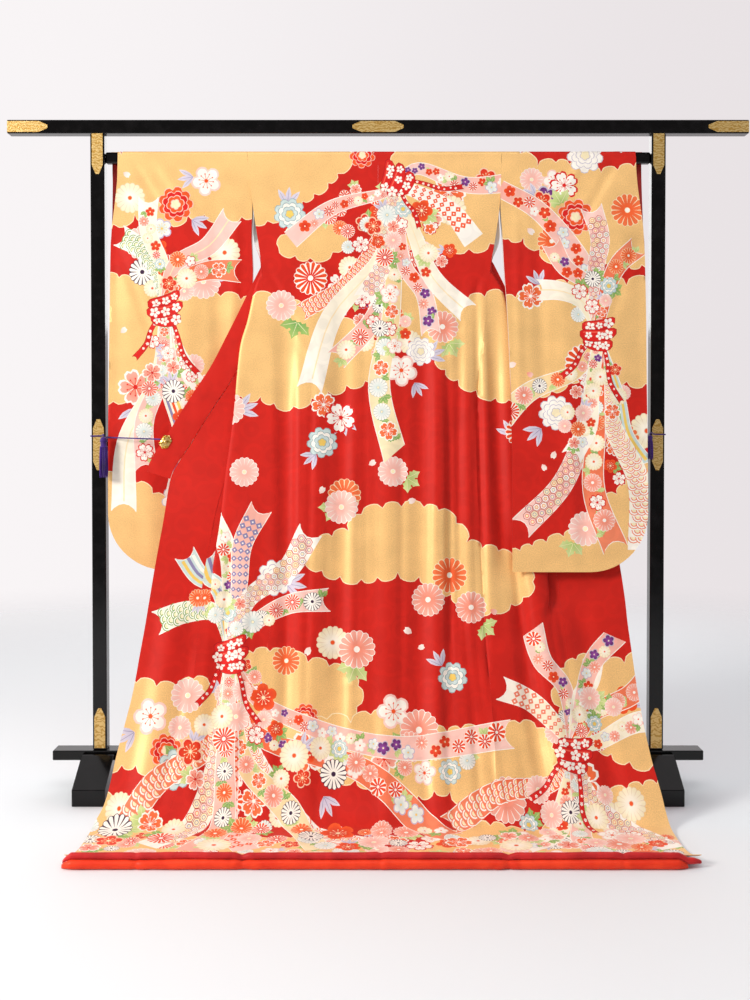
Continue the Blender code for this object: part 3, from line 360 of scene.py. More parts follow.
gap = 0.12
clothWall = 1.6
collarWall = 2.4
collarWidth = 62.0
layerStep = 7.0
turnColumn = 5.0
seamTop = 1307.0
tuckTop = 1350.0  # the folded layers open between the seam's top and here
slitMiddle = 1400.0
slitTop = 1455.0
rodFade = (1588.0, 1540.0)  # between these levels the cloth leaves the rod and its creases begin
slitLow = 1390.0  # the front hangs on its own from here up
okumiStart = 1330.0
foldEnd = 502.0
foldFlat = 440.0
foldGone = 290.0
shoulder = 1593.2
hemLevel = -227.0
rodTop = 1592.0
rodDepth = 22.0

# A level is the height while the cloth hangs, and the run along the floor, counted down, after that
Section = namedtuple("Section", "level y z")
profile = rowsOf(Section, (
    (1593.2, -0.2, 1593.2), (1592.0, -8.4, 1593.4), (1588.5, -13.0, 1588.6), (1577.0, -14.2, 1577.0),
    (1552.0, -17.0, 1552.0), (1515.0, -20.0, 1515.0), (1460.0, -25.5, 1460.0), (1428.0, -28.4, 1428.0),
    (1400.0, -31.0, 1400.0), (1350.0, -35.3, 1350.0), (seamTop, -38.5, seamTop), (1247.0, -43.0, 1247.0),
    (1175.0, -48.5, 1175.0), (1110.0, -54.0, 1110.0), (1030.0, -62.5, 1030.0), (950.0, -71.5, 950.0),
    (870.0, -82.5, 870.0), (783.0, -94.5, 783.0), (690.0, -107.0, 690.0), (620.0, -116.0, 620.0),
    (555.0, -124.5, 555.0), (foldEnd, -133.0, foldEnd), (foldFlat, -144.0, foldFlat),
    (370.0, -157.5, 370.0), (290.0, -176.0, 290.0), (210.0, -200.0, 210.0), (140.0, -228.0, 140.0),
    (90.0, -252.0, 90.0), (52.0, -276.0, 52.0), (24.0, -303.0, 24.0), (0.0, -335.0, 8.0),
    (-45.0, -380.0, 4.2), (-105.0, -440.0, 3.2), (-155.0, -490.0, 4.8), (-195.0, -530.0, 12.5),
    (hemLevel, -562.0, 25.0),
))

FarSide = namedtuple("FarSide", "level y")
farSide = rowsOf(FarSide, (
    (1593.2, 0.2), (1592.0, 8.4), (1588.5, 13.0), (1577.0, 14.2), (1552.0, 14.6), (1515.0, 13.6),
    (1460.0, 8.0), (1400.0, 0.0), (1350.0, -9.0), (1307.0, -19.0), (1247.0, -29.0), (1175.0, -35.0),
    (1110.0, -41.0), (1030.0, -46.0), (950.0, -56.0), (870.0, -67.0), (783.0, -79.0), (690.0, -92.0),
    (620.0, -102.0), (545.0, -114.0), (470.0, -128.0),
))

# Distances out from the centre: side seam, slit edge, outer fold, inner fold, okumi seam, and the collar
# seam or edge
Front = namedtuple("Front", "level side opening fold tuck okumi edge")
leftFront = rowsOf(Front, (
    (1593.2, 324, 324, 322, 84, 80, 80), (1515, 318, 318, 316, 100, 118, 118),
    (1460, 310, 310, 308, 140, 145, 145), (1400, 301, 311, 304, 172, 176, 176),
    (1350, 293, 310, 300, 165, 200, 200), (1307, 287, 289, 289, 152, 211, 221),
    (1247, 281, 281, 305, 148, 223, 250), (1175, 271, 271, 320, 172, 240, 284),
    (1110, 262, 262, 338, 208, 256, 316), (1030, 250, 250, 346, 236, 283, 357),
    (950, 246, 246, 352, 258, 312, 409), (870, 244, 244, 361, 292, 343, 458),
    (783, 243, 243, 372, 322, 374, 508), (690, 242, 242, 381, 345, 398, 521),
    (620, 244, 244, 391, 366, 410, 532), (555, 247, 247, 400, 385, 422, 542),
    (foldEnd, 251, 251, 402, 402, 427, 549), (foldFlat, 257, 257, 398, 398, 430, 557),
    (370, 264, 264, 386, 386, 434, 568), (290, 271, 271, 380, 380, 441, 580),
    (140, 277, 277, 382, 382, 460, 612), (52, 280, 280, 388, 388, 474, 627),
    (0, 281, 281, 392, 392, 484, 645), (-105, 282, 282, 396, 396, 496, 645),
    (-227, 282, 282, 400, 400, 502, 652),
))
rightFront = rowsOf(Front, (
    (1593.2, 306, 306, 304, 84, 80, 80), (1515, 304, 304, 302, 100, 118, 118),
    (1460, 301, 301, 299, 140, 145, 145), (1400, 293, 303, 296, 171, 176, 176),
    (1350, 285, 305, 292, 165, 200, 200), (1307, 277, 279, 279, 152, 211, 221),
    (1247, 272, 272, 306, 148, 223, 250), (1175, 264, 264, 322, 174, 240, 284),
    (1110, 256, 256, 336, 206, 256, 316), (1030, 247, 247, 350, 240, 286, 357),
    (950, 242, 242, 360, 266, 318, 409), (870, 239, 239, 366, 296, 347, 458),
    (783, 240, 240, 376, 328, 380, 512), (690, 244, 244, 388, 354, 406, 560),
    (620, 247, 247, 398, 374, 420, 577), (555, 250, 250, 408, 394, 432, 587),
    (foldEnd, 252, 252, 410, 410, 438, 593), (foldFlat, 254, 254, 406, 406, 444, 599),
    (370, 259, 259, 392, 392, 450, 607), (290, 266, 266, 386, 386, 458, 616),
    (140, 273, 273, 390, 390, 476, 638), (52, 272, 272, 394, 394, 488, 655),
    (0, 270, 270, 396, 396, 494, 659), (-105, 269, 269, 398, 398, 500, 659),
    (-227, 269, 269, 400, 400, 506, 670),
))

EdgeDepth = namedtuple("EdgeDepth", "level y")
edgeDepth = rowsOf(EdgeDepth, (
    (1593.2, 0.2), (1592.0, 8.4), (1588.5, 13.0), (1577.0, 14.2), (1552.0, 15.0), (1460.0, 16.0),
    (1400.0, 22.0), (1350.0, 4.0), (1307.0, -14.0), (1247.0, -27.5), (1110.0, -42.0), (950.0, -52.0),
    (870.0, -58.0), (783.0, -68.0), (690.0, -90.0), (545.0, -119.0), (470.0, -136.0),
))

# Folds and creases: where a line starts and ends, its reach to each side, and its rise, a valley below zero
Fold = namedtuple("Fold", "name xTop xBottom top bottom halfWidth rise")
folds = rowsOf(Fold, (
    ("left side valley", -232, -216, 1240, 330, 34, -9), ("left back ridge", -150, -170, 1400, 120, 60, 9),
    ("left back valley", -84, -96, 1330, 220, 36, -7), ("centre ridge", 28, 22, 1450, 150, 44, 6),
    ("right inner valley", 110, 92, 1250, 260, 34, -6), ("right ridge", 146, 140, 1350, 140, 34, 9),
    ("right deep valley", 182, 176, 1120, 330, 26, -11), ("right back ridge", 214, 212, 1290, 180, 26, 9),
    ("right side valley", 284, 300, 1240, 560, 26, -10), ("right front valley", 306, 380, 760, 90, 34, -11),
    ("right front ridge", 352, 438, 700, 80, 46, 10), ("right okumi valley", 470, 548, 560, 60, 44, -8),
    ("left front ridge", -318, -336, 760, 90, 48, 8), ("left front valley", -372, -402, 470, 70, 34, -9),
    ("left okumi ridge", -470, -540, 620, 60, 50, 8),
))
# The creases are finer than the solids' folds, placed one by one and uneven on purpose
creases = rowsOf(Fold, (
    ("drag under the left slit", -282, -176, 1318, 1120, 15, -2.6),
    ("drag beside it", -262, -132, 1296, 1010, 22, 2.2),
    ("drag under the right slit", 270, 196, 1316, 1140, 14, -2.8),
    ("drag beside it, right", 250, 166, 1290, 1050, 20, 2.4),
    ("short left crease", -208, -204, 980, 640, 10, -2.2),
    ("left hanging crease", -118, -126, 900, 420, 13, -2.0),
    ("centre left crease", -34, -30, 1180, 520, 11, -1.6),
    ("centre right crease", 60, 54, 960, 300, 14, -2.4),
    ("pinch in the right ridge", 128, 122, 1080, 560, 10, -2.6),
    ("right inner crease", 160, 158, 1020, 440, 8, 2.4),
    ("right sharp crease", 196, 191, 1000, 380, 9, -3.4),
    ("right side crease", 232, 236, 900, 500, 9, -2.4),
    ("right front crease", 334, 398, 620, 160, 12, -3.0),
    ("right front second crease", 414, 470, 520, 120, 14, 2.6),
    ("gilt drape, first", 206, 232, 480, 90, 15, -4.0), ("gilt drape, second", 244, 282, 430, 70, 14, 3.6),
    ("gilt drape, third", 150, 168, 400, 60, 16, -3.2),
    ("left skirt crease", -300, -322, 560, 130, 14, -2.6),
    ("left skirt second crease", -440, -492, 420, 90, 16, -2.8),
    ("left train ripple", -240, -262, 330, 10, 22, 3.0),
    ("train ripple, left", -130, -144, 300, -60, 26, -3.0),
    ("train ripple, centre", 12, 18, 280, -70, 24, 2.6),
    ("train ripple, right", 96, 118, 300, -60, 22, -3.2),
    ("train ripple, far right", 330, 360, 240, -80, 24, -3.0),
    ("right deep fold", 200, 206, 1290, 380, 16, -4.6),
    ("right valley eased", 182, 176, 1120, 330, 26, 4.0),
    ("right back ridge eased", 214, 212, 1290, 180, 26, -5.0),
    ("edge of the right ridge", 180, 186, 1250, 320, 14, 3.8),
    ("right seam crease", 240, 262, 1180, 250, 10, -3.2),
    ("right front falls away", 540, 600, 640, 150, 190, -8.0),
    ("right outer fold", 240, 250, 1320, 560, 12, -4.4), ("its lip, outer", 257, 268, 1320, 560, 13, 3.8),
    ("left long ridge", -190, -206, 1200, 300, 18, 3.6),
    ("left long valley", -158, -172, 1180, 320, 15, -3.6),
    ("centre left long ridge", -60, -66, 1000, 240, 18, 3.0),
    ("right front hollow", 318, 352, 700, 380, 14, -4.2),
    ("left front hollow", -352, -372, 700, 300, 15, -3.8),
))
# The sleeves' creases hang from the rod and from the cuff
leftSleeveCreases = rowsOf(Fold, (
    ("rod drag", -620, -520, 1590, 1420, 20, -2.2), ("rod drag, second", -560, -430, 1590, 1400, 26, 2.4),
    ("cuff drag", -656, -560, 1400, 1130, 22, -2.0), ("middle ridge", -470, -486, 1380, 760, 46, 3.4),
    ("middle valley", -404, -392, 1500, 900, 30, -3.2), ("inner ridge", -350, -360, 1470, 1100, 20, 2.6),
    ("low ridge", -590, -560, 1120, 640, 42, 2.6), ("low valley", -520, -500, 1050, 600, 28, -2.4),
))
rightSleeveCreases = rowsOf(Fold, (
    ("rod drag", 600, 500, 1590, 1410, 22, -2.4), ("rod drag, second", 520, 420, 1590, 1430, 24, 2.2),
    ("cuff drag", 648, 560, 1400, 1150, 22, -2.2), ("middle ridge", 452, 470, 1400, 820, 44, 3.6),
    ("middle valley", 392, 400, 1480, 980, 26, -3.4), ("inner ridge", 340, 344, 1460, 1000, 16, 2.4),
    ("low ridge", 566, 540, 1150, 660, 40, 3.0), ("low valley", 500, 492, 1000, 620, 26, -2.6),
))

Sleeve = namedtuple("Sleeve", "level near far inner outer")
leftSleeve = rowsOf(Sleeve, (
    (1593.2, -0.2, 0.2, 324, 664), (1592.0, -8.4, 8.4, 324, 664), (1588.5, -13.0, 13.0, 324, 664),
    (1577.0, -14.2, 14.2, 323, 664), (1552.0, -16.5, 14.6, 321, 664), (1515.0, -19.0, 13.0, 318, 663),
    (1460.0, -20.0, 8.0, 311, 663), (1380.0, -20.5, 1.0, 313, 664), (1300.0, -20.5, -5.0, 310, 665),
    (1200.0, -20.5, -9.0, 314, 666), (1080.0, -20.5, -12.5, 318, 668), (960.0, -20.5, -14.4, 321, 670),
    (840.0, -21.0, -14.6, 323, 671), (720.0, -23.5, -17.5, 325, 671), (650.0, -25.0, -19.5, 326, 670),
    (605.0, -26.0, -21.0, 327, 669), (578.0, -26.5, -22.0, 327, 668), (555.0, -27.0, -24.0, 327, 668),
))
rightSleeve = rowsOf(Sleeve, (
    (1593.2, -0.2, 0.2, 306, 657), (1592.0, -8.4, 8.4, 306, 657), (1588.5, -13.0, 13.0, 306, 657),
    (1577.0, -14.2, 14.2, 306, 658), (1552.0, -17.0, 13.0, 305, 658), (1515.0, -21.0, 9.0, 304, 658),
    (1460.0, -28.0, -1.0, 302, 658), (1380.0, -40.5, -20.0, 306, 657), (1300.0, -54.0, -40.5, 309, 656),
    (1200.0, -68.0, -58.0, 315, 655), (1080.0, -81.0, -71.5, 320, 654), (960.0, -95.0, -85.5, 323, 653),
    (840.0, -109.5, -100.5, 324, 652), (720.0, -124.0, -116.0, 323, 650), (650.0, -132.5, -125.5, 323, 648),
    (612.0, -136.5, -130.8, 322, 647), (586.0, -139.0, -134.0, 322, 647), (563.0, -141.0, -137.8, 322, 647),
))
sleeveLook = {"cuffOpening": 230.0, "corner": 138.0, "pinch": 60.0, "cuffReveal": 19.0}

trackCache = {}


def track(table, column, level):
    # a curve through a table's column that never overshoots its rows, for an array of levels
    key = (id(table), column)
    if key not in trackCache:
        rows = np.array([row.level for row in table], dtype=float)[::-1]
        values = np.array([getattr(row, column) for row in table], dtype=float)[::-1]
        step = np.diff(rows)
        slope = np.diff(values) / step
        tangent = np.empty(len(rows))
        tangent[0], tangent[-1] = slope[0], slope[-1]
        before, after = slope[:-1], slope[1:]
        weightBefore = 2 * step[1:] + step[:-1]
        weightAfter = step[1:] + 2 * step[:-1]
        same = before * after > 0
        safeBefore = np.where(same, before, 1.0)
        safeAfter = np.where(same, after, 1.0)
        mean = (weightBefore + weightAfter) / (weightBefore / safeBefore + weightAfter / safeAfter)
        tangent[1:-1] = np.where(same, mean, 0.0)
        trackCache[key] = (rows, values, step, tangent)
    rows, values, step, tangent = trackCache[key]
    level = np.clip(np.asarray(level, dtype=float), rows[0], rows[-1])
    i = np.clip(np.searchsorted(rows, level) - 1, 0, len(rows) - 2)
    h = step[i]
    return easedCurve(values[i], values[i + 1], tangent[i] * h, tangent[i + 1] * h, (level - rows[i]) / h)


def ramp(value, start, end):
    t = np.clip((np.asarray(value, dtype=float) - start) / (end - start), 0.0, 1.0)
    return t * t * (3 - 2 * t)


def mix(a, b, t):
    return a + (b - a) * t


def profileFrame(level):
    y = track(profile, "y", level)
    z = track(profile, "z", level)
    above = np.minimum(level + 2.0, shoulder)
    below = np.maximum(level - 2.0, hemLevel)
    runY = track(profile, "y", below) - track(profile, "y", above)
    runZ = track(profile, "z", below) - track(profile, "z", above)
    size = np.hypot(runY, runZ)
    return y, z, runZ / size, -runY / size


foldStarts, foldRunsOn, foldFades = 0.3, 1.25, 0.35  # shares of a fold's own length


def relief(table, x, level):
    total = np.zeros(np.broadcast(x, level).shape)
    for fold in table:
        place = (fold.top - level) / (fold.top - fold.bottom)
        line = mix(fold.xTop, fold.xBottom, place)
        across = np.abs(x - line) / fold.halfWidth
        along = np.clip(place / foldStarts, 0, 1) * np.clip((foldRunsOn - place) / foldFades, 0, 1)
        shown = (place > 0) & (place < foldRunsOn) & (across < 1)
        swell = 0.5 + 0.5 * np.cos(np.pi * np.minimum(across, 1))
        total += np.where(shown, fold.rise * along * swell, 0.0)
    return total


# Pressed creases across the cloth, from how it was folded away
Pressed = namedtuple("Pressed", "xFrom xTo level slope halfHeight rise")
pressedCreases = rowsOf(Pressed, (
    (-150, 262, 318, -0.01, 13, -1.5), (120, 310, 624, 0.02, 12, -1.4), (-268, -60, 640, -0.02, 12, 1.1),
    (-540, -350, 598, 0.03, 12, -1.6), (-560, -370, 512, 0.01, 12, 1.4), (-230, 240, 930, 0.01, 14, 0.8),
    (300, 470, 330, 0.03, 13, -1.4), (-650, -340, 900, 0.02, 13, 1.0), (340, 650, 880, -0.02, 13, 1.0),
    (340, 480, 640, 0.02, 12, -1.3), (-640, -450, 668, -0.02, 12, -1.2),
))


def pressedRelief(x, level):
    total = 0.0
    for crease in pressedCreases:
        line = crease.level + crease.slope * (x - crease.xFrom)
        height = np.clip(1 - np.abs(level - line) / crease.halfHeight, 0, 1)
        along = ramp(x, crease.xFrom, crease.xFrom + 50) * ramp(-x, -crease.xTo, 50 - crease.xTo)
        total = total + crease.rise * along * height**1.3
    return total


def ripple(x, level):
    # the slight unevenness of a lined silk that hangs: slow waves of under a millimetre
    waves = 0.5 * np.sin(x / 41.0 + 1.7 * np.sin(level / 163.0))
    waves += 0.35 * np.sin(level / 57.0 + 1.3 * np.sin(x / 97.0))
    return waves * ramp(level, 1560.0, 1480.0) + pressedRelief(x, level)


def bodyRelief(x, level):
    hang = ramp(level, *rodFade)
    flatHem = ramp(level, hemLevel + 4, hemLevel + 60)
    return relief(folds, x, level) + (relief(creases, x, level) + ripple(x, level)) * hang * flatHem


def bodySurface(x, level):
    y, z, outY, outZ = profileFrame(level)
    rise = bodyRelief(x, level)
    return np.stack([x + 0 * y, y + outY * rise, z + outZ * rise], axis=-1)


def between(a, b, share):
    return (mix(a[0], b[0], share), mix(a[1], b[1], share))


thirds = (0.34, 0.67)  # where the columns of a straight stretch stand
longThirds = (0.36, 0.7)
turnLook = {
    "radius": 0.45,  # of the step between layers
    "widest": 12.0,  # the fold's depth at which a turn has its whole radius
    "tuckStep": 1.3,
    "thirdStep": 0.9,
    "thirdShare": 0.35,
    "cornerOver": 8.0,  # where a fold is shallower than this it becomes a plain corner
}


def outerShares(run):
    shares = [k * turnColumn * 0.7 / run for k in range(6)]
    return shares + [mix(shares[5], 1.0, share) for share in longThirds]


def foldedCourse(fronts, level):
    # a front's course across, seen from above: out from the side seam, back behind itself, and out again
    yBack = track(profile, "y", level)
    yFar = track(farSide, "y", level)
    yEdge = track(edgeDepth, "y", level)
    free = ramp(level, seamTop, slitMiddle)
    side = mix(track(fronts, "side", level), track(fronts, "opening", level), free) + gap / 2 - gap * free
    ySide = mix(yBack, yFar, free)
    fold = track(fronts, "fold", level)
    tuck = track(fronts, "tuck", level)
    okumi = track(fronts, "okumi", level) - gap / 2
    edge = track(fronts, "edge", level)
    look = turnLook
    turn = layerStep * look["radius"] * np.clip((fold - tuck) / look["widest"], 0, 1)
    behind = yBack + layerStep
    yTuck = np.maximum(yFar, yBack + layerStep * look["tuckStep"])
    yThird = np.maximum(yTuck + layerStep * look["thirdStep"], mix(yTuck, yEdge, look["thirdShare"]))
    yOkumi = mix(yThird, yEdge, np.clip((okumi - tuck) / np.maximum(edge - tuck, 1.0), 0, 1))
    first = np.maximum(fold - turn, side + 1.0)
    outerTurn = [(side, yBack)] + [(mix(side, first, share), yBack) for share in thirds]
    outerTurn += [(first, yBack), (fold, mix(yBack, behind, 0.5)), (fold - turn, behind)]
    corner = 1 - np.clip((fold - side - 2) / look["cornerOver"], 0, 1)
    straightBack = [(side + 0.3 * k + clothWall / 2, yBack + 1.5 * k) for k in range(6)]
    outerTurn = [between(a, b, corner) for a, b in zip(outerTurn, straightBack)]
    turn = turn * ramp(level, slitMiddle, tuckTop)
    innerStart = (tuck + turn, yTuck)
    outerTurn += [between(outerTurn[5], innerStart, share) for share in longThirds]
    noFold = ramp(level, seamTop, tuckTop)
    run = np.maximum(side - innerStart[0], 1.0)
    plain = [between((side, ySide), innerStart, share) for share in outerShares(run)]
    course = [between(a, b, noFold) for a, b in zip(outerTurn, plain)]
    third = (tuck + turn, yThird)
    last = (okumi, yOkumi)
    course += [innerStart, (tuck, mix(yTuck, yThird, 0.5)), third]
    return course + [between(third, last, 0.4), between(third, last, 0.7), last]


def hangingCourse(fronts, level):
    start = (track(fronts, "opening", level) - gap / 2, track(farSide, "y", level))
    end = (track(fronts, "okumi", level), track(edgeDepth, "y", level))
    run = start[0] - end[0]
    inner = 1 - 5 * turnColumn / run
    shares = [share * inner for share in outerShares(run * inner)]
    shares += [1 - (5 - k) * turnColumn / run for k in range(6)]
    return [between(start, end, share) for share in shares]


def spreadCourse(fronts, level):
    yBack = track(profile, "y", level)
    side = track(fronts, "side", level) + gap / 2
    fold = track(fronts, "fold", level)
    okumi = track(fronts, "okumi", level) - gap / 2
    reach = mix(12.0, 46.0, ramp(level, foldFlat, foldGone))
    reach = np.minimum(reach, np.minimum((okumi - fold) * 0.6, (fold - side) * 0.6))
    first = fold - reach
    last = fold + reach
    xs = [side] + [mix(side, first, share) for share in thirds]
    xs += [mix(first, last, k / 7) for k in range(8)]
    xs += [mix(last, okumi, share) for share in thirds] + [okumi]
    return [(x, yBack) for x in xs]


courseColumns = 14


def frontCourse(fronts, level):
    # columns by levels, as places (out, y), and the run of cloth to each column
    level = np.atleast_1d(np.asarray(level, dtype=float))
    hung = ramp(level, slitMiddle, slitTop)
    ended = ramp(level, foldEnd, foldFlat)
    folded = foldedCourse(fronts, level)
    hanging = hangingCourse(fronts, np.maximum(level, slitLow))
    spread = spreadCourse(fronts, np.minimum(level, foldEnd))
    course = []
    for k in range(courseColumns):
        place = between(folded[k], hanging[k], hung)
        course.append(between(place, spread[k], ended))
    xs = np.stack([np.broadcast_to(place[0], level.shape) for place in course], axis=1)
    ys = np.stack([np.broadcast_to(place[1], level.shape) for place in course], axis=1)
    steps = np.maximum(np.hypot(np.diff(xs, axis=1), np.diff(ys, axis=1)), 1e-4)
    runs = np.concatenate([np.zeros((len(level), 1)), np.cumsum(steps, axis=1)], axis=1)
    return xs, ys, runs


def alongCourse(xs, ys, runs, run):
    # a smooth curve through each level's columns, at that level's run
    rows = np.arange(len(run))
    run = np.clip(run, 0, runs[:, -1])
    i = np.clip((runs <= run[:, None]).sum(axis=1) - 1, 0, courseColumns - 2)
    width = runs[rows, i + 1] - runs[rows, i]
    t = (run - runs[rows, i]) / width
    before = np.maximum(i - 1, 0)
    after = np.minimum(i + 2, courseColumns - 1)
    out = []
    for values in (xs, ys):
        a, b = values[rows, i], values[rows, i + 1]
        slopeA = (b - values[rows, before]) / (runs[rows, i + 1] - runs[rows, before])
        slopeB = (values[rows, after] - a) / (runs[rows, after] - runs[rows, i])
        out.append(easedCurve(a, b, slopeA * width, slopeB * width, t))
    return out


def frontSurface(fronts, sign):
    # the panel's own surface: u is the distance out, unfolded, with the side's sign
    def surface(u, level):
        xs, ys, runs = frontCourse(fronts, level)
        run = np.abs(u) - xs[:, 0]
        x, y = alongCourse(xs, ys, runs, run)
        _, z, outY, outZ = profileFrame(level)
        joined = 1 - ramp(level, seamTop, tuckTop)
        ended = ramp(level, foldEnd, foldFlat)
        firstLeg = 1 - ramp(run, runs[:, 3] - 6, runs[:, 4])
        follow = np.maximum(joined * firstLeg, ended)
        rise = bodyRelief(sign * x, level) * follow
        rise += (1 - follow) * ripple(u, level) * 0.6
        return np.stack([sign * x, y + outY * rise, z + outZ * rise], axis=-1)

    return surface


def okumiSurface(fronts):
    def surface(u, level):
        seamY = frontCourse(fronts, level)[1][:, -1]
        yBack, z, outY, outZ = profileFrame(level)
        ended = ramp(level, foldEnd, foldFlat)
        inner = track(fronts, "okumi", level) + gap / 2
        outer = np.maximum(track(fronts, "edge", level), inner + 3.0)
        outerY = mix(track(edgeDepth, "y", level), yBack, ended)
        share = (np.abs(u) - inner) / (outer - inner)
        y = mix(seamY, outerY, share)
        rise = bodyRelief(u, level) * ended + ripple(u, level) * (1 - ended)
        return np.stack([u, y + outY * rise, z + outZ * rise], axis=-1)

    return surface


def sleeveOuter(sleeve, level, side):
    # the edge with the cuff; the near layer ends short of the far one, where the red facing shows
    bottom = sleeve[-1].level
    drop = np.clip(sleeveLook["corner"] - (level - bottom), 0, sleeveLook["corner"])
    outer = track(sleeve, "outer", level)
    outer = outer - sleeveLook["corner"] + np.sqrt(sleeveLook["corner"] ** 2 - drop**2)
    if side < 0:
        cuffEnd = shoulder - sleeveLook["cuffOpening"]
        outer = outer - sleeveLook["cuffReveal"] * ramp(level, cuffEnd - 30, shoulder - 30)
    return outer


def sleeveSurface(sleeve, side, table):
    bottom = sleeve[-1].level
    cuffEnd = shoulder - sleeveLook["cuffOpening"]

    def surface(u, level):
        near = track(sleeve, "near", level)
        far = track(sleeve, "far", level)
        closed = ramp(level, cuffEnd + 50, cuffEnd - 10)
        outer = sleeveOuter(sleeve, level, 1)
        fromEdge = (outer - np.abs(u)) / sleeveLook["pinch"]
        fromBottom = (level - bottom) / sleeveLook["pinch"]
        pinch = mix(1.0, ramp(fromEdge, 0, 1), closed) * ramp(fromBottom, -0.0001, 1)
        least = np.where(level >= shoulder - 0.05, 0.2, (clothWall + gap) / 2)
        y = (near + far) / 2 + side * np.maximum((far - near) / 2 * pinch, least)
        apart = np.clip((far - near) / 2 * pinch - least, 0, 6) / 6
        shade = ramp(level, *rodFade) * (1 if side < 0 else apart)
        rise = (relief(table, u, level) + ripple(u, level)) * shade * ramp(level, bottom, bottom + 40)
        return np.stack([u, y - rise, track(profile, "z", level)], axis=-1)

    return surface


# Each panel's cut, as an outline and rows of points in its own (across, level) sizes

clothStep = {
    "across": 6.5,
    "down": 9.0,
    "overRod": 2.4,
    "rodEnd": 1574.0,
    "atFloor": 6.0,
    "floorBend": (-30.0, 60.0),  # between these levels
    "tightTurn": 14.0,  # a stretch between two knots that is shorter still has three columns
    "fewest": 0.9,  # no two columns are closer
    "corner": 6,  # degrees round a sleeve's corner
    "longest": 30.0,  # a triangle with a longer edge lies outside the panel
    "edge": 13.0,  # along the outline of a printed shape
    "sharpFrom": 72.0,  # degrees between two faces
}


def bodyLevels(top, bottom):
    # rows lie close where the cloth turns over the rod and where it meets the floor
    levels = []
    level = top
    bendLow, bendHigh = clothStep["floorBend"]
    while level > bottom + 3:
        levels.append(level)
        if level > clothStep["rodEnd"]:
            level -= clothStep["overRod"]
        elif bendLow < level < bendHigh:
            level -= clothStep["atFloor"]
        else:
            level -= clothStep["down"]
    return levels + [bottom]


def evenly(start, end, step):
    count = max(2, int(math.ceil(abs(end - start) / step)))
    return [start + (end - start) * k / count for k in range(count + 1)]


def rowAcross(sign, inner, outer, level):
    return [(sign * x, level) for x in evenly(inner, outer, clothStep["across"])]


def backRows(sign, fronts):
    rows = []
    for level in bodyLevels(shoulder, hemLevel):
        outer = float(track(fronts, "side", level)) - gap / 2
        rows.append(rowAcross(sign, gap / 2, outer, level))
    return rows


def frontRows(sign, fronts):
    # columns also stand at every turn of the folds, so that the turns stay round
    rows = []
    for level in bodyLevels(shoulder, hemLevel):
        xs, _, runs = frontCourse(fronts, level)
        knots = runs[0]
        places = []
        for a, b in zip(knots, knots[1:]):
            count = max(1, int(math.ceil((b - a) / clothStep["across"])))
            if b - a < clothStep["tightTurn"]:
                count = max(count, 3)
            places += [a + (b - a) * k / count for k in range(count)]
        places.append(knots[-1])
        kept = [places[0]]
        for place in places[1:-1]:
            if min(place - kept[-1], places[-1] - place) > clothStep["fewest"]:
                kept.append(place)
        kept.append(places[-1])
        rows.append([(sign * (xs[0, 0] + place), level) for place in kept])
    return rows


def okumiRows(sign, fronts):
    rows = []
    for level in [okumiStart] + bodyLevels(seamTop, hemLevel):
        inner = float(track(fronts, "okumi", level)) + gap / 2
        outer = max(float(track(fronts, "edge", level)), inner + 3.0)
        rows.append(rowAcross(sign, inner, outer, level))
    return rows


def sleeveRows(sign, sleeve, side):
    bottom = sleeve[-1].level
    corner = sleeveLook["corner"]
    levels = [level for level in bodyLevels(shoulder, bottom) if level > bottom + corner + 4]
    angles = [math.radians(angle) for angle in range(0, 91, clothStep["corner"])]
    levels += [bottom + corner * (1 - math.sin(angle)) for angle in angles]
    rows = []
    for level in levels:
        inner = float(track(sleeve, "inner", level)) + gap
        outer = float(sleeveOuter(sleeve, level, side))
        rows.append(rowAcross(sign, inner, outer, level))
    return rows


def outlineOf(rows):
    outline = list(rows[0])
    outline += [row[-1] for row in rows[1:-1]]
    outline += list(reversed(rows[-1]))
    outline += [row[0] for row in reversed(rows[1:-1])]
    return outline


def anticlockwise(points):
    total = 0.0
    for here, there in zip(points, points[1:] + points[:1]):
        total += here[0] * there[1] - there[0] * here[1]
    return points if total > 0 else points[::-1]


def insideEdges(spots, starts, ends):
    # which spots lie within closed lines, by how often a line to their right crosses them
    ax, ay, bx, by = starts[:, 0], starts[:, 1], ends[:, 0], ends[:, 1]
    x, y = spots[:, :1], spots[:, 1:]
    crossed = (ay > y) != (by > y)
    height = np.where(by == ay, 1.0, by - ay)
    return (crossed & (x < (bx - ax) * (y - ay) / height + ax)).sum(axis=1) % 2 == 1


def insideLoop(spots, loop):
    return insideEdges(spots, loop, np.roll(loop, -1, axis=0))


Shape = namedtuple("Shape", "points colour tint centre reach gold")


def steppedLoop(loop, step=clothStep["edge"]):
    # no stretch of an edge is longer than a step, so that it follows the cloth
    out = []
    for here, there in zip(loop, np.roll(loop, -1, axis=0)):
        count = max(1, int(math.ceil(math.dist(here, there) / step)))
        out += [here + (there - here) * k / count for k in range(count)]
    return np.array(out)


def reaches(shape, levels, lefts, rights):
    # whether a shape's box meets the panel at the shape's own levels
    (lowX, lowY), (highX, highY) = shape.points.min(axis=0), shape.points.max(axis=0)
    first = max(0, np.searchsorted(-levels, -highY) - 1)
    last = min(len(levels), np.searchsorted(-levels, -lowY) + 1)
    if first >= last or lowY > levels[0] or highY < levels[-1]:
        return False
    return lowX < rights[first:last].max() and highX > lefts[first:last].min()


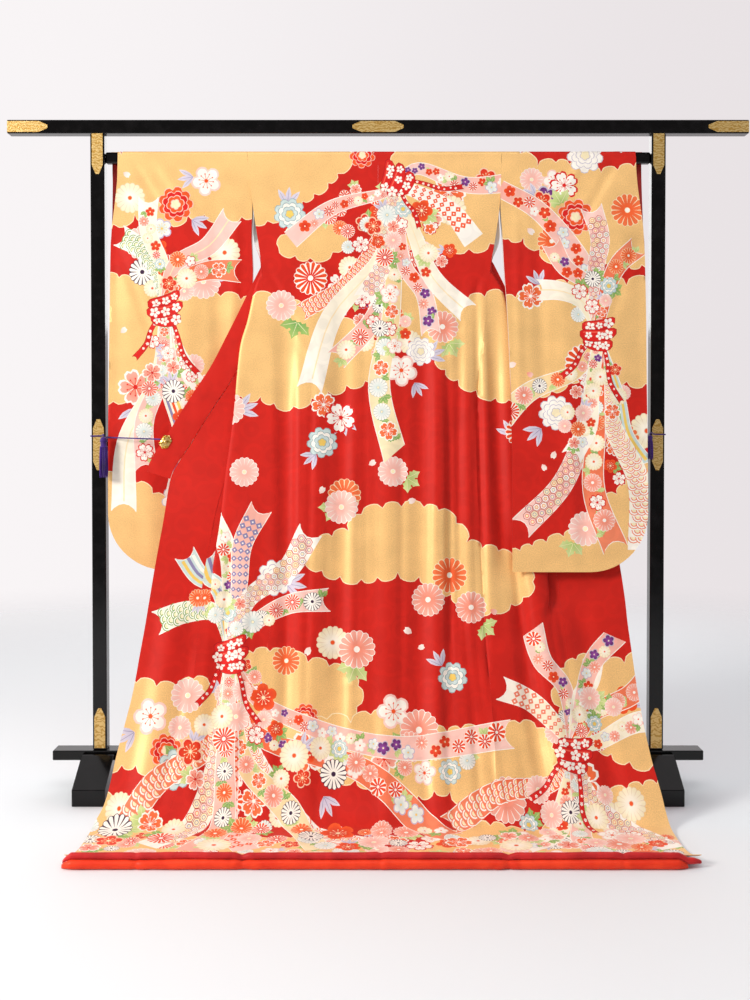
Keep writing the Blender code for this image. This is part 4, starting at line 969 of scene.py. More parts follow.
def triangulate(points, edges):
    flat, _, corners, origins, _, _ = delaunay_2d_cdt([Vector(p) for p in points], edges, [], 0, 0.02, True)
    flat = np.array([tuple(v) for v in flat])
    corners = np.array(corners)
    one, two = flat[corners[:, 1]] - flat[corners[:, 0]], flat[corners[:, 2]] - flat[corners[:, 0]]
    doubled = one[:, 0] * two[:, 1] - one[:, 1] * two[:, 0]
    corners, doubled = corners[np.abs(doubled) > 1e-5], doubled[np.abs(doubled) > 1e-5]
    corners[doubled < 0] = corners[doubled < 0][:, ::-1]
    return flat, corners, origins


def coverOf(flat, corners, kept):
    # the last shape that covers each triangle's middle, counted from 1
    middles = flat[corners].mean(axis=1)
    order = np.argsort(middles[:, 0])
    across = middles[order, 0]
    tops = np.zeros(len(corners), dtype=int)
    for i, one in enumerate(kept):
        (lowX, lowY), (highX, highY) = one.points.min(axis=0), one.points.max(axis=0)
        near = order[np.searchsorted(across, lowX) : np.searchsorted(across, highX)]
        near = near[(middles[near, 1] > lowY) & (middles[near, 1] < highY)]
        if len(near):
            tops[near[insideLoop(middles[near], one.points)]] = i + 1
    return tops


def sharedEdges(corners):
    # every edge once, with the two triangles beside it, or one of them twice at the border
    edges = np.sort(corners[:, [[0, 1], [1, 2], [2, 0]]].reshape(-1, 2), axis=1)
    owner = np.repeat(np.arange(len(corners)), 3)
    order = np.lexsort((edges[:, 1], edges[:, 0]))
    edges, owner = edges[order], owner[order]
    starts = np.flatnonzero(np.concatenate([[True], (edges[1:] != edges[:-1]).any(axis=1)]))
    ends = np.concatenate([starts[1:], [len(edges)]]) - 1
    return edges[starts], owner[starts], owner[ends]


def straightened(flat, edges, origins):
    # drops the points where a hidden edge met a shown one, which leave that edge straight
    beside = {}
    for a, b in edges:
        beside.setdefault(a, set()).add(b)
        beside.setdefault(b, set()).add(a)
    for here in list(beside):
        if origins[here] or len(beside[here]) != 2:
            continue
        a, b = beside[here]
        (ax, ay), (bx, by) = flat[a] - flat[here], flat[b] - flat[here]
        straight = abs(ax * by - ay * bx) < 0.05 * math.hypot(ax - bx, ay - by)
        if straight and ax * bx + ay * by < 0 and b not in beside[a]:
            beside[a].remove(here)
            beside[b].remove(here)
            beside[a].add(b)
            beside[b].add(a)
            del beside[here]
    return [(a, b) for a in beside for b in beside[a] if a < b]


def cutCloth(rows, shapes):
    # The panel's flat cut as triangles, with an edge wherever the print changes, and each triangle's top
    # shape. Edges that lie hidden under other shapes are found first and left out.
    outline = np.array(outlineOf(rows))
    levels = np.array([row[0][1] for row in rows])
    lefts = np.array([min(row[0][0], row[-1][0]) for row in rows])
    rights = np.array([max(row[0][0], row[-1][0]) for row in rows])
    kept = [one for one in shapes if reaches(one, levels, lefts, rights)]
    points, edges = [], []
    for loop in [outline] + [steppedLoop(one.points) for one in kept]:
        first, count = len(points), len(loop)
        points += list(loop)
        edges += [(first + k, first + (k + 1) % count) for k in range(count)]
    flat, corners, origins = triangulate(points, edges)
    corners = corners[insideLoop(flat[corners].mean(axis=1), outline)]
    tops = coverOf(flat, corners, kept)
    looks = {}
    lookOf = np.array([0] + [looks.setdefault(one[1:], len(looks) + 1) for one in kept])
    edges, one, two = sharedEdges(corners)
    shown = (one == two) | (lookOf[tops[one]] != lookOf[tops[two]])
    edges = straightened(flat, [tuple(edge) for edge in edges[shown].tolist()], origins)
    tree = BVHTree.FromPolygons([(x, y, 0.0) for x, y in flat], corners.tolist())
    used = sorted({point for edge in edges for point in edge})
    index = {point: k for k, point in enumerate(used)}
    points = [flat[point] for point in used] + [point for row in rows[1:-1] for point in row[1:-1]]
    finalFlat, finalCorners, _ = triangulate(points, [(index[a], index[b]) for a, b in edges])
    middles = finalFlat[finalCorners].mean(axis=1)
    found = [tree.find_nearest((x, y, 0.0)) for x, y in middles]
    spans = np.linalg.norm(finalFlat[finalCorners] - finalFlat[np.roll(finalCorners, 1, axis=1)], axis=2)
    near = np.array([hit[3] < 0.01 for hit in found]) & (spans.max(axis=1) < clothStep["longest"])
    owner = np.array([hit[2] for hit in found])
    return finalFlat, finalCorners[near], tops[owner[near]], kept


def plainCut(flat, corners, rows):
    # the same panel without its print, on the same border points
    edges, one, two = sharedEdges(corners)
    border = edges[one == two]
    used = np.unique(border)
    index = {point: k for k, point in enumerate(used)}
    points = list(flat[used]) + [point for row in rows[1:-1] for point in row[1:-1]]
    plainFlat, plainCorners, origins = triangulate(points, [(index[a], index[b]) for a, b in border])
    middles = plainFlat[plainCorners].mean(axis=1)
    plainCorners = plainCorners[insideEdges(middles, flat[border[:, 0]], flat[border[:, 1]])]
    twin = {}
    for k, origin in enumerate(origins):
        for first in origin:
            if first < len(used):
                twin[int(used[first])] = len(flat) + k
    return plainFlat, plainCorners, twin


def clothPlaces(surface, flat, side, lift):
    places = surface(flat[:, 0], flat[:, 1])
    ahead = surface(flat[:, 0] + 0.5, flat[:, 1]) - surface(flat[:, 0] - 0.5, flat[:, 1])
    up = surface(flat[:, 0], flat[:, 1] + 0.5) - surface(flat[:, 0], flat[:, 1] - 0.5)
    normal = np.cross(ahead, up)
    normal /= np.maximum(np.linalg.norm(normal, axis=1), 1e-9)[:, None]
    return places + normal * side * lift


def meshOf(name, places, faces, smooth, slots, flat):
    mesh = bpy.data.meshes.new(name)
    mesh.vertices.add(len(places))
    mesh.vertices.foreach_set("co", inFrame(places).ravel())
    mesh.loops.add(faces.size)
    mesh.loops.foreach_set("vertex_index", faces.ravel().astype(np.int32))
    mesh.polygons.add(len(faces))
    mesh.polygons.foreach_set("loop_start", np.arange(0, faces.size, 3, dtype=np.int32))
    mesh.polygons.foreach_set("loop_total", np.full(len(faces), 3, dtype=np.int32))
    mesh.polygons.foreach_set("use_smooth", smooth)
    mesh.polygons.foreach_set("material_index", slots.astype(np.int32))
    mesh.update()
    where = mesh.uv_layers.new(name="cloth")
    where.data.foreach_set("uv", (flat[faces.ravel()] * millimetre).ravel())
    return mesh


def printColours(flat, corners, tops, kept):
    # a colour for every corner, blended from a shape's centre outwards where it has a tint
    base = np.array(linearColour(silkRed["base"]))
    table = [(base, base, (0.0, 0.0), 0.0, 0.0)]
    for one in kept:
        colours = [np.array(linearColour(colour)) for colour in (one.colour, one.tint)]
        table.append((*colours, one.centre, one.reach, one.gold))
    first, second, centre, reach, gold = (np.array([row[k] for row in table])[tops] for k in range(5))
    values = np.empty((corners.size, 4))
    for k in range(3):
        away = np.linalg.norm(flat[corners[:, k]] - centre, axis=1)
        share = np.where(reach > 0, np.clip(away / np.maximum(reach, 1e-6), 0, 1), 0.0)[:, None]
        values[k::3] = first + (second - first) * share
        values[k::3, 3] = gold
    return values


def printedCloth(node, rows, surface, side, shapes):
    # One closed wall of cloth. Its outer face is cut along every shape of the print, so each keeps a crisp
    # edge in the silk itself; the inner face is plain. The colours' alpha is the share of gold.
    flat, corners, tops, kept = cutCloth(rows, shapes)
    plainFlat, plainCorners, twin = plainCut(flat, corners, rows)
    outer = clothPlaces(surface, flat, side, -clothWall / 2)
    inner = clothPlaces(surface, plainFlat, side, clothWall / 2)
    edges, one, two = sharedEdges(corners)
    border = {tuple(edge) for edge in edges[one == two].tolist()}
    rim, rimTops = [], []
    for k in np.unique(one[one == two]).tolist():
        a, b, c = corners[k].tolist()
        for here, there in ((a, b), (b, c), (c, a)):
            if (min(here, there), max(here, there)) in border:
                rim.append((there, here, twin[here]))
                rimTops.append(tops[k])
                if twin[here] != twin[there]:
                    rim.append((there, twin[here], twin[there]))
                    rimTops.append(tops[k])
    faces = np.vstack([corners, plainCorners[:, ::-1] + len(flat), np.array(rim)])
    counts = (len(corners), len(plainCorners), len(rim))
    if side > 0:
        faces = faces[:, ::-1]
    slots = np.repeat((0, 1, 0), counts)
    smooth = np.repeat((True, True, False), counts)
    whole = np.vstack([flat, plainFlat])
    mesh = meshOf(node + "Silk", np.vstack([outer, inner]), faces, smooth, slots, whole)
    paint = mesh.color_attributes.new("print", "FLOAT_COLOR", "CORNER")
    values = np.ones((faces.size, 4))
    first, last = 3 * counts[0], 3 * (counts[0] + counts[1])
    values[:first] = printColours(whole, faces[: counts[0]], tops, kept)
    values[last:] = printColours(whole, faces[counts[0] + counts[1] :], np.array(rimTops), kept)
    paint.data.foreach_set("color", values.ravel())
    mesh.set_sharp_from_angle(angle=math.radians(clothStep["sharpFrom"]))
    return addPiece(node + "Silk", mesh, [printed, lining], node)


# The silks

silkRed = {
    "base": "#cb2015",
    "roughness": 0.56,
    "shine": 0.18,
    "crepeGrain": 1.1,  # mm between the grains of the crepe
    "crepeBump": 0.1,
    "figure": 46.0,  # mm across one woven figure of the ground
    "figureRings": 15.0,
    "figureShade": 0.95,  # the ground's colour between two rings, against its full colour
    # the gold's flecks: darker as its own mottling, lighter as painted glints
    "fleckShades": (0.84, 1.12),
    "patchShades": (0.92, 1.05),
    "goldRoughness": 0.4,
    "goldMetal": 0.12,
    "goldFleck": 2.6,  # mm between flecks
    "unevenness": 70.0,  # mm between the slow lighter and darker patches of the dye
    "sheen": 0.06,
    "sheenRoughness": 0.45,
}
liningLook = {
    "grey": "#f2eeea",
    "red": "#cb2015",
    "greyFrom": 0.98,  # metres above the floor
    "greyFull": 1.04,
    "cuffFrom": 0.636,  # metres out from the centre
    "roughness": 0.42,
    "sheen": 0.2,
}


def printedSilk():
    # silk crepe with a woven figure: the print shows soft and dry, the red ground carries a faint lustre
    # figure, and what is printed in gold is mottled in small flecks, the darker ones its own, the lighter
    # ones painted glints
    look = silkRed
    material, shader = newMaterial("silk crepe, printed and gilt", {
        "Sheen Weight": look["sheen"], "Sheen Roughness": look["sheenRoughness"],
        "Specular IOR Level": look["shine"],
    })
    colour = addNode(material, "VertexColor", {"layer_name": "print"})
    where = addNode(material, "UVMap", {"uv_map": "cloth"})
    pattern = {}
    for name, kind, settings in (
        ("crepeGrain", "TexNoise", {"Detail": 2.0, "Roughness": 0.6}),
        ("goldFleck", "TexNoise", {"Detail": 3.0, "Roughness": 0.65}),
        ("unevenness", "TexNoise", {"Detail": 2.0}),
        ("figure", "TexVoronoi", {"feature": "F1", "Randomness": 0.9}),
    ):
        sized = addNode(material, "VectorMath", {"operation": "SCALE", "Scale": 1000 / look[name]},
                        {0: (where, "UV")})
        pattern[name] = addNode(material, kind, dict(settings, Scale=1.0), {"Vector": (sized, "Vector")})
    rings = addNode(material, "Math", {"operation": "MULTIPLY", 1: look["figureRings"]},
                    {0: (pattern["figure"], "Distance")})
    wave = addNode(material, "Math", {"operation": "SINE"}, {0: (rings, "Value")})
    figure = addNode(material, "MapRange", {
        "From Min": 0.1, "From Max": 0.5, "To Min": look["figureShade"], "To Max": 1.0,
    }, {"Value": (wave, "Value")})
    plainFigure = addNode(material, "Mix", {"data_type": "FLOAT", "B": 1.0},
                          {"Factor": (colour, "Alpha"), "A": (figure, "Result")})
    # gold flecks: the darker ones are the gold's own mottling, the lighter ones are painted glints that
    # stand for the light gold leaf catches
    darkFleck, lightFleck = look["fleckShades"]
    fleckTone = addNode(material, "MapRange", {
        "From Min": 0.3, "From Max": 0.68, "To Min": darkFleck, "To Max": lightFleck,
    }, {"Value": (pattern["goldFleck"], "Fac")})
    darkPatch, lightPatch = look["patchShades"]
    patchTone = addNode(material, "MapRange", {
        "From Min": 0.3, "From Max": 0.7, "To Min": darkPatch, "To Max": lightPatch,
    }, {"Value": (pattern["unevenness"], "Fac")})
    goldTone = addNode(material, "Mix", {"data_type": "FLOAT", "A": 1.0},
                       {"Factor": (colour, "Alpha"), "B": (fleckTone, "Result")})
    tone = addNode(material, "Math", {"operation": "MULTIPLY"},
                   {0: (plainFigure, "Result"), 1: (patchTone, "Result")})
    tone = addNode(material, "Math", {"operation": "MULTIPLY"},
                   {0: (tone, "Value"), 1: (goldTone, "Result")})
    shaded = addNode(material, "VectorMath", {"operation": "SCALE"},
                     {0: (colour, "Color"), "Scale": (tone, "Value")})
    plug(material, shaded, "Vector", shader, "Base Color")
    metal = addNode(material, "Math", {"operation": "MULTIPLY", 1: look["goldMetal"]},
                    {0: (colour, "Alpha")})
    plug(material, metal, "Value", shader, "Metallic")
    rough = addNode(material, "MapRange", {
        "To Min": look["roughness"], "To Max": look["goldRoughness"],
    }, {"Value": (colour, "Alpha")})
    plug(material, rough, "Result", shader, "Roughness")
    bump = addNode(material, "Bump", {"Strength": look["crepeBump"], "Distance": 0.0006},
                   {"Height": (pattern["crepeGrain"], "Fac")})
    plug(material, bump, "Normal", shader, "Normal")
    return material


def liningSilk():
    # plain glossy silk lining: greyish white in the bodice, red towards the hem and as the facing of a cuff
    look = liningLook
    material, shader = newMaterial("silk lining, plain weave", {
        "Roughness": look["roughness"], "Sheen Weight": look["sheen"],
    })
    where = addNode(material, "UVMap", {"uv_map": "cloth"})
    apart = addNode(material, "SeparateXYZ", {}, {"Vector": (where, "UV")})
    share = addNode(material, "MapRange", {
        "From Min": look["greyFrom"], "From Max": look["greyFull"],
    }, {"Value": (apart, "Y")})
    out = addNode(material, "Math", {"operation": "ABSOLUTE"}, {0: (apart, "X")})
    within = addNode(material, "Math", {"operation": "LESS_THAN", 1: look["cuffFrom"]}, {0: (out, "Value")})
    grey = addNode(material, "Math", {"operation": "MULTIPLY"}, {0: (share, "Result"), 1: (within, "Value")})
    tone = colourRamp(material, ((0.0, look["red"]), (1.0, look["grey"])), grey, "Value")
    plug(material, tone, "Color", shader, "Base Color")
    return material


printed = printedSilk()
lining = liningSilk()


# The print: traditional motifs, each drawn at unit size and then placed; colours as they look in daylight

ink = {
    "gold": "#f4c581", "goldRim": "#fbe4b8", "white": "#fbf5ea", "cream": "#f7e8be", "yellow": "#f1cb66",
    "blush": "#f9cfc4", "pink": "#f6b1a0", "salmon": "#ee8468", "coral": "#ee5826", "scarlet": "#d8201c",
    "line": "#b9362c", "purple": "#522259", "violet": "#9a4aa6", "lavender": "#c5bbd0", "dusk": "#8d86ad",
    "mist": "#cbdcd9", "green": "#a7c169", "leaf": "#6da257", "tieShade": "#8e1016", "tieLight": "#ec5b49",
}


def polygon(points, colour, tint=None, centre=(0.0, 0.0), reach=0.0, gold=0.0):
    plain = ink.get(colour, colour)
    return Shape(np.array(points, dtype=float), plain, ink.get(tint, tint) or plain, centre, reach, gold)


def place(shapes, centre, size, turn=0.0):
    turned = np.array(((math.cos(turn), math.sin(turn)), (-math.sin(turn), math.cos(turn)))) * size
    centre = np.array(centre)
    return [one._replace(points=one.points @ turned + centre, reach=one.reach * size,
                         centre=tuple(np.array(one.centre) @ turned + centre)) for one in shapes]


def anyTurn(rng):
    return rng.uniform(0, 6.28)


def ring(radius, sides, middle=(0.0, 0.0)):
    return [(middle[0] + radius * math.cos(2 * math.pi * k / sides),
             middle[1] + radius * math.sin(2 * math.pi * k / sides)) for k in range(sides)]


def scallop(count, radius, dip, steps=4):
    # a round outline of small lobes
    points = []
    for k in range(count * steps):
        bulge = math.sqrt(abs(math.sin(math.pi * k / steps)))
        angle = 2 * math.pi * k / (count * steps)
        points.append((radius * (1 - dip + dip * bulge) * math.cos(angle),
                       radius * (1 - dip + dip * bulge) * math.sin(angle)))
    return points


def fan(count, half, colour, tint=None, reach=1.0, start=0.0, sweep=2 * math.pi):
    # one petal's half outline, as (along, across), repeated round the centre
    petal = np.array(list(half) + [(a, -b) for a, b in reversed(half) if b])
    out = []
    for k in range(count):
        angle = start + sweep * (k + 0.5) / count
        turned = np.array(((math.cos(angle), math.sin(angle)), (-math.sin(angle), math.cos(angle))))
        out.append(polygon(petal @ turned, colour, tint, reach=reach if tint else 0.0))
    return out


Mum = namedtuple("Mum", "rim petal tint heart fill")
mums = {
    "whiteMum": Mum("#e9d3b4", "white", "cream", "coral", 0.86),
    "pinkMum": Mum("white", "salmon", "pink", "white", 0.86),
    "blushMum": Mum("white", "pink", "blush", "cream", 0.88),
    "coralMum": Mum("cream", "coral", "#f27a48", "white", 0.84),
    "coralStar": Mum("white", "scarlet", "coral", "white", 0.62),
    "purpleMum": Mum("#cdb7cf", "purple", "purple", "cream", 0.8),
    "inkMum": Mum("#3c2340", "white", "white", "#3c2340", 0.72),
    "mistMum": Mum("#9fb4b6", "mist", "white", "cream", 0.88),
}


def mum(look, count=16):
    # a chrysanthemum: a scalloped disc in the rim's colour, round-ended petals on it and a small heart
    pitch = math.pi / count * look.fill
    half = ((0.16, 0.3 * pitch), (0.6, 0.62 * pitch), (0.86, 0.86 * pitch), (0.95, 0.5 * pitch), (0.97, 0.0))
    shapes = [polygon(scallop(count, 1.0, 0.09, 3), look.rim)]
    shapes += fan(count, half, look.petal, look.tint)
    shapes.append(polygon(ring(0.13, 8), look.heart))
    return shapes


Blossom = namedtuple("Blossom", "rim petal tint mark")
blossoms = {
    "coralCherry": Blossom("white", "coral", "#f47a48", "white"),
    "whiteCherry": Blossom("scarlet", "white", "white", "scarlet"),
    "pinkCherry": Blossom("white", "salmon", "pink", "scarlet"),
    "redPlum": Blossom("coral", "scarlet", "coral", "cream"),
    "orangePlum": Blossom("#f6c9a8", "coral", "scarlet", "cream"),
    "whitePlum": Blossom("blush", "white", "white", "coral"),
    "violetPlum": Blossom("lavender", "violet", "purple", "cream"),
    "mistPlum": Blossom("lavender", "mist", "white", "yellow"),
}
cherryHalf = ((0.06, 0.03), (0.34, 0.27), (0.62, 0.41), (0.84, 0.37), (0.97, 0.17), (0.86, 0.0))
plumHalf = ((0.1, 0.06), (0.3, 0.3), (0.56, 0.42), (0.82, 0.36), (0.97, 0.16), (1.0, 0.0))


def blossom(look, half, stamens=10):
    # a five-petalled blossom, rimmed, with stamens that end in dots
    inner = tuple((0.1 + (a - 0.1) * 0.86, b * 0.78) for a, b in half)
    shapes = fan(5, half, look.rim) + fan(5, inner, look.petal, look.tint)
    if stamens:
        shapes += fan(stamens, ((0.06, 0.012), (0.4, 0.012), (0.46, 0.05), (0.52, 0.0)), look.mark)
    shapes.append(polygon(ring(0.13, 7), look.mark))
    return shapes


Peony = namedtuple("Peony", "rim outer inner heart")
peonies = {
    "mistPeony": Peony("#93aeb2", "mist", "white", "yellow"),
    "whitePeony": Peony("#c9c3cf", "white", "white", "cream"),
    "pinkPeony": Peony("white", "pink", "salmon", "cream"),
    "coralPeony": Peony("#f8c6b4", "coral", "scarlet", "cream"),
}


def peony(look):
    shapes = []
    rounds = ((9, 1.0, look.outer), (8, 0.76, look.inner), (6, 0.52, look.outer), (5, 0.3, look.heart))
    for count, radius, tone in rounds:
        shapes += place([polygon(scallop(count, radius, 0.2), look.rim),
                         polygon(scallop(count, radius - 0.05, 0.2), tone)], (0, 0), 1.0, radius * 5)
    return shapes


leafHalf = ((0.0, 0.0), (0.3, 0.13), (0.62, 0.15), (0.86, 0.07), (1.0, 0.0))
lobedHalf = ((0.0, 0.0), (0.1, 0.15), (0.26, 0.14), (0.36, 0.33), (0.52, 0.22), (0.64, 0.3), (0.78, 0.14),
             (1.0, 0.0))
veinHalf = ((0.05, 0.014), (0.8, 0.008), (0.86, 0.0))


def spray(count, half, colour, tint, vein, sweep):
    # pointed or lobed leaves from one stalk, each with its middle vein
    shapes = fan(count, half, colour, tint, start=-sweep / 2, sweep=sweep)
    return shapes + fan(count, veinHalf, vein, start=-sweep / 2, sweep=sweep)


def fallenPetal(colour, tint):
    half = ((0.0, 0.0), (0.3, 0.3), (0.65, 0.36), (0.95, 0.2), (0.86, 0.0))
    return [polygon([(a - 0.5, b) for a, b in half] + [(a - 0.5, -b) for a, b in reversed(half) if b],
                    colour, tint, (-0.5, 0.0), 1.0)]


motifs = {name: mum(look) for name, look in mums.items()}
motifs.update({name: blossom(look, cherryHalf if "Cherry" in name else plumHalf)
               for name, look in blossoms.items()})
motifs.update({name: peony(look) for name, look in peonies.items()})
small = {name: mum(look, 10) for name, look in mums.items()}
small.update({name: blossom(look, plumHalf, 0) for name, look in blossoms.items()})
motifs["lavenderLeaves"] = spray(3, leafHalf, "lavender", "#ded8e3", "#8f88a8", 1.9)
motifs["greenLeaves"] = spray(3, lobedHalf, "leaf", "green", "cream", 3.2)
motifs["limeLeaves"] = spray(3, lobedHalf, "green", "#dbe3a0", "cream", 3.0)
motifs["whitePetal"] = fallenPetal("blush", "white")
motifs["pinkPetal"] = fallenPetal("salmon", "blush")


# Clouds: smooth outlines, edged with lobes

def smoothLoop(points, steps=10):
    # a closed smooth curve through a few points
    out = []
    count = len(points)
    for i in range(count):
        a, b, c, d = (np.array(points[(i + k) % count], dtype=float) for k in (-1, 0, 1, 2))
        for k in range(steps):
            out.append(curvePoint(a, b, c, d, k / steps))
    return np.array(out)


cloudLook = {"lobe": 44.0, "lobeSteps": 6, "uneven": 0.3, "bulge": 0.3, "rim": 2.2}


def cloud(points, seed):
    # a flat gilt cloud whose smooth outline is broken into uneven lobes, with a paler rim
    rng = random.Random(seed)
    line = smoothLoop(anticlockwise([tuple(point) for point in points]))
    closed = np.vstack([line, line[:1]])
    travelled = np.concatenate([[0.0], np.cumsum(np.linalg.norm(np.diff(closed, axis=0), axis=1))])
    total = travelled[-1]
    count = max(5, int(total / cloudLook["lobe"]))
    shares = np.cumsum([1 + cloudLook["uneven"] * rng.uniform(-1, 1) for _ in range(count)])
    cusps = shares / shares[-1] * total
    places = [np.array([np.interp(at % total, travelled, closed[:, k]) for k in (0, 1)]) for at in cusps]
    edge = []
    for here, there in zip(places, places[1:] + places[:1]):
        chord = there - here
        outward = np.array((chord[1], -chord[0]))
        for t in np.arange(cloudLook["lobeSteps"]) / cloudLook["lobeSteps"]:
            lift = math.sqrt(max(0.0, 1 - (2 * t - 1) ** 2))
            edge.append(here + chord * t + outward * cloudLook["bulge"] * lift)
    edge = np.array(edge)
    run = np.roll(edge, -1, axis=0) - np.roll(edge, 1, axis=0)
    inward = np.stack([-run[:, 1], run[:, 0]], axis=1)
    inward /= np.maximum(np.linalg.norm(run, axis=1), 1e-6)[:, None]
    return [polygon(edge, "goldRim", gold=0.6), polygon(edge + inward * cloudLook["rim"], "gold", gold=1.0)]


# Ribbons: a bent course with a border, a pattern in its own sizes and a cut end

def ribbonCourse(points, steps=9):
    ends = [2 * np.array(points[0]) - np.array(points[1])] + [np.array(p, dtype=float) for p in points]
    ends.append(2 * np.array(points[-1]) - np.array(points[-2]))
    out = []
    for a, b, c, d in zip(ends, ends[1:], ends[2:], ends[3:]):
        out += [curvePoint(a, b, c, d, k / steps) for k in range(steps)]
    out.append(np.array(points[-1], dtype=float))
    return np.array(out)


class Strip:
    # a ribbon's own sizes: how far along, in millimetres, and how far across, from -1 to 1
    def __init__(self, points, startWidth, endWidth):
        self.line = ribbonCourse(points)
        run = np.gradient(self.line, axis=0)
        self.across = np.stack([-run[:, 1], run[:, 0]], axis=1) / np.linalg.norm(run, axis=1)[:, None]
        steps = np.linalg.norm(np.diff(self.line, axis=0), axis=1)
        self.travelled = np.concatenate([[0.0], np.cumsum(steps)])
        self.length = self.travelled[-1]
        self.widths = (startWidth, endWidth)

    def width(self, along):
        return mix(self.widths[0], self.widths[1], min(1.0, max(0.0, along / self.length)) ** 0.8)

    def at(self, along, across):
        spot = [np.interp(along, self.travelled, self.line[:, k]) for k in (0, 1)]
        side = [np.interp(along, self.travelled, self.across[:, k]) for k in (0, 1)]
        reach = across * self.width(along) / 2
        return (spot[0] + side[0] * reach, spot[1] + side[1] * reach)

    def angle(self, along):
        a, b = self.at(along - 1, 0), self.at(along + 1, 0)
        return math.atan2(b[1] - a[1], b[0] - a[0])

    def band(self, stations, low, high):
        # a stripe along the ribbon between two places across
        return [self.at(s, low) for s in stations] + [self.at(s, high) for s in stations[::-1]]

    def outline(self, inset, notch):
        stations = np.linspace(0, self.length, len(self.line))
        top = [self.at(s, 1 - 2 * inset / self.width(s)) for s in stations]
        low = [self.at(s, -1 + 2 * inset / self.width(s)) for s in stations]
        tail = [self.at(self.length - self.widths[1] * notch * (1 - s * s) - inset, s)
                for s in (0.75, 0.4, 0.0, -0.4, -0.75)] if notch > 0 else []
        if notch < 0:
            top[-1] = self.at(self.length + self.widths[1] * notch, 1 - 2 * inset / self.width(self.length))
        return top + tail + low[::-1]


def patternBlossoms(strip, rng):
    names = ("redPlum", "whitePlum", "violetPlum", "orangePlum", "whiteMum", "coralStar", "mistPlum",
             "pinkMum")
    shapes = []
    along, side = strip.width(0) * 0.6, 1
    while along < strip.length - strip.width(strip.length) * 0.45:
        width = strip.width(along)
        size = width * rng.uniform(0.26, 0.36)
        if rng.random() < 0.25:
            leaf = motifs[rng.choice(("greenLeaves", "limeLeaves"))]
            shapes += place(leaf, strip.at(along, -side * 0.2), size * 1.25, anyTurn(rng))
        shapes += place(small[rng.choice(names)], strip.at(along, side * rng.uniform(0.1, 0.4)), size,
                        anyTurn(rng))
        along += size * rng.uniform(1.5, 2.1)
        side = -side
    return shapes


def patternLarge(strip, rng):
    # a line of large flowers that fill the width
    names = ("coralMum", "whiteMum", "coralStar", "pinkMum", "mistMum", "coralCherry", "whiteCherry",
             "inkMum")
    shapes = []
    along = strip.width(0) * 0.7
    while along < strip.length - strip.width(strip.length) * 0.5:
        size = strip.width(along) * rng.uniform(0.38, 0.46)
        leaf = motifs[rng.choice(("greenLeaves", "limeLeaves"))]
        shapes += place(leaf, strip.at(along + size, rng.choice((-0.3, 0.3))), size * 0.9, anyTurn(rng))
        shapes += place(motifs[rng.choice(names)], strip.at(along, rng.uniform(-0.1, 0.1)), size,
                        anyTurn(rng))
        along += size * rng.uniform(2.1, 2.6)
    return shapes


def patternHexagons(strip, rng):
    shapes = []
    across = 2 if strip.widths[1] < 46 else 3
    along, row = strip.width(0) * 0.3, 0
    while along < strip.length - strip.widths[1] * 0.45:
        size = strip.width(along) / across / 1.9
        for k in range(across - row % 2):
            spot = strip.at(along, (2 * k + 1 + row % 2) / across - 1)
            turn = strip.angle(along)
            tone = rng.choice(("white", "cream", "blush"))
            tones = ((1.0, "line"), (0.86, tone), (0.5, rng.choice(("coral", "dusk"))), (0.36, "cream"))
            shapes += place([polygon(ring(radius, 6), colour) for radius, colour in tones], spot, size, turn)
        along += size * 1.56
        row += 1
    return shapes


def patternLattice(strip, rng):
    # crossed bars over a coloured ground
    shapes = []
    cell = strip.widths[1] / 2.6
    tones = rng.choice((("dusk", "white"), ("coral", "white"), ("salmon", "white"), ("yellow", "white")))
    along = strip.width(0) * 0.4
    while along < strip.length - strip.widths[1] * 0.5:
        for k in range(3):
            across = (2 * k + 1) / 3 - 1
            a = strip.width(along) / 6 * 0.86
            shapes += place([polygon(((1, 0), (0, 1), (-1, 0), (0, -1)), tones[0]),
                             polygon(((0.3, 0), (0, 0.3), (-0.3, 0), (0, -0.3)), tones[1])],
                            strip.at(along, across), a * 1.15, strip.angle(along))
        along += cell * 0.86
    return shapes


def patternWaves(strip, rng):
    shapes = []
    tone = rng.choice(("coral", "dusk", "leaf", "salmon"))
    along = strip.length - strip.widths[1] * 0.45
    row = 0
    while along > strip.width(0) * 0.5:
        size = strip.width(along) / 4.2
        for k in range(3 - row % 2):
            spot = strip.at(along, ((k + 0.5 + 0.5 * (row % 2)) / 1.5 - 1) * 0.9)
            turn = strip.angle(along)
            arch = np.array([(math.cos(a), math.sin(a)) for a in np.linspace(-math.pi / 2, math.pi / 2, 7)])
            tones = ((1.0, tone), (0.84, "white"), (0.6, tone), (0.44, "cream"))
            shapes += place([polygon(arch * radius, colour) for radius, colour in tones], spot, size, turn)
        along -= size * 1.1
        row += 1
    return shapes


def patternStripes(strip, rng):
    shapes = []
    tones = rng.sample(("coral", "pink", "green", "white", "yellow", "dusk"), 3)
    for tone, low, high in zip(tones, (-0.72, -0.2, 0.36), (-0.42, 0.1, 0.66)):
        stations = np.linspace(strip.length * 0.02, strip.length * 0.94, 18)
        shapes.append(polygon(strip.band(stations, low, high), tone))
    return shapes


def patternPlain(strip, rng):
    stations = np.linspace(strip.length * 0.05, strip.length * 0.95, 14)
    return [polygon(strip.band(stations, 0.06, -0.06), "goldRim")]


patterns = {
    "blossoms": patternBlossoms, "large": patternLarge, "hexagons": patternHexagons,
    "lattice": patternLattice, "waves": patternWaves, "stripes": patternStripes, "plain": patternPlain,
}
ribbonRim = 1.7
ribbonTint = {"pink": "blush", "cream": "white", "coral": "#f08a66", "gold": "cream", "blush": "pink"}


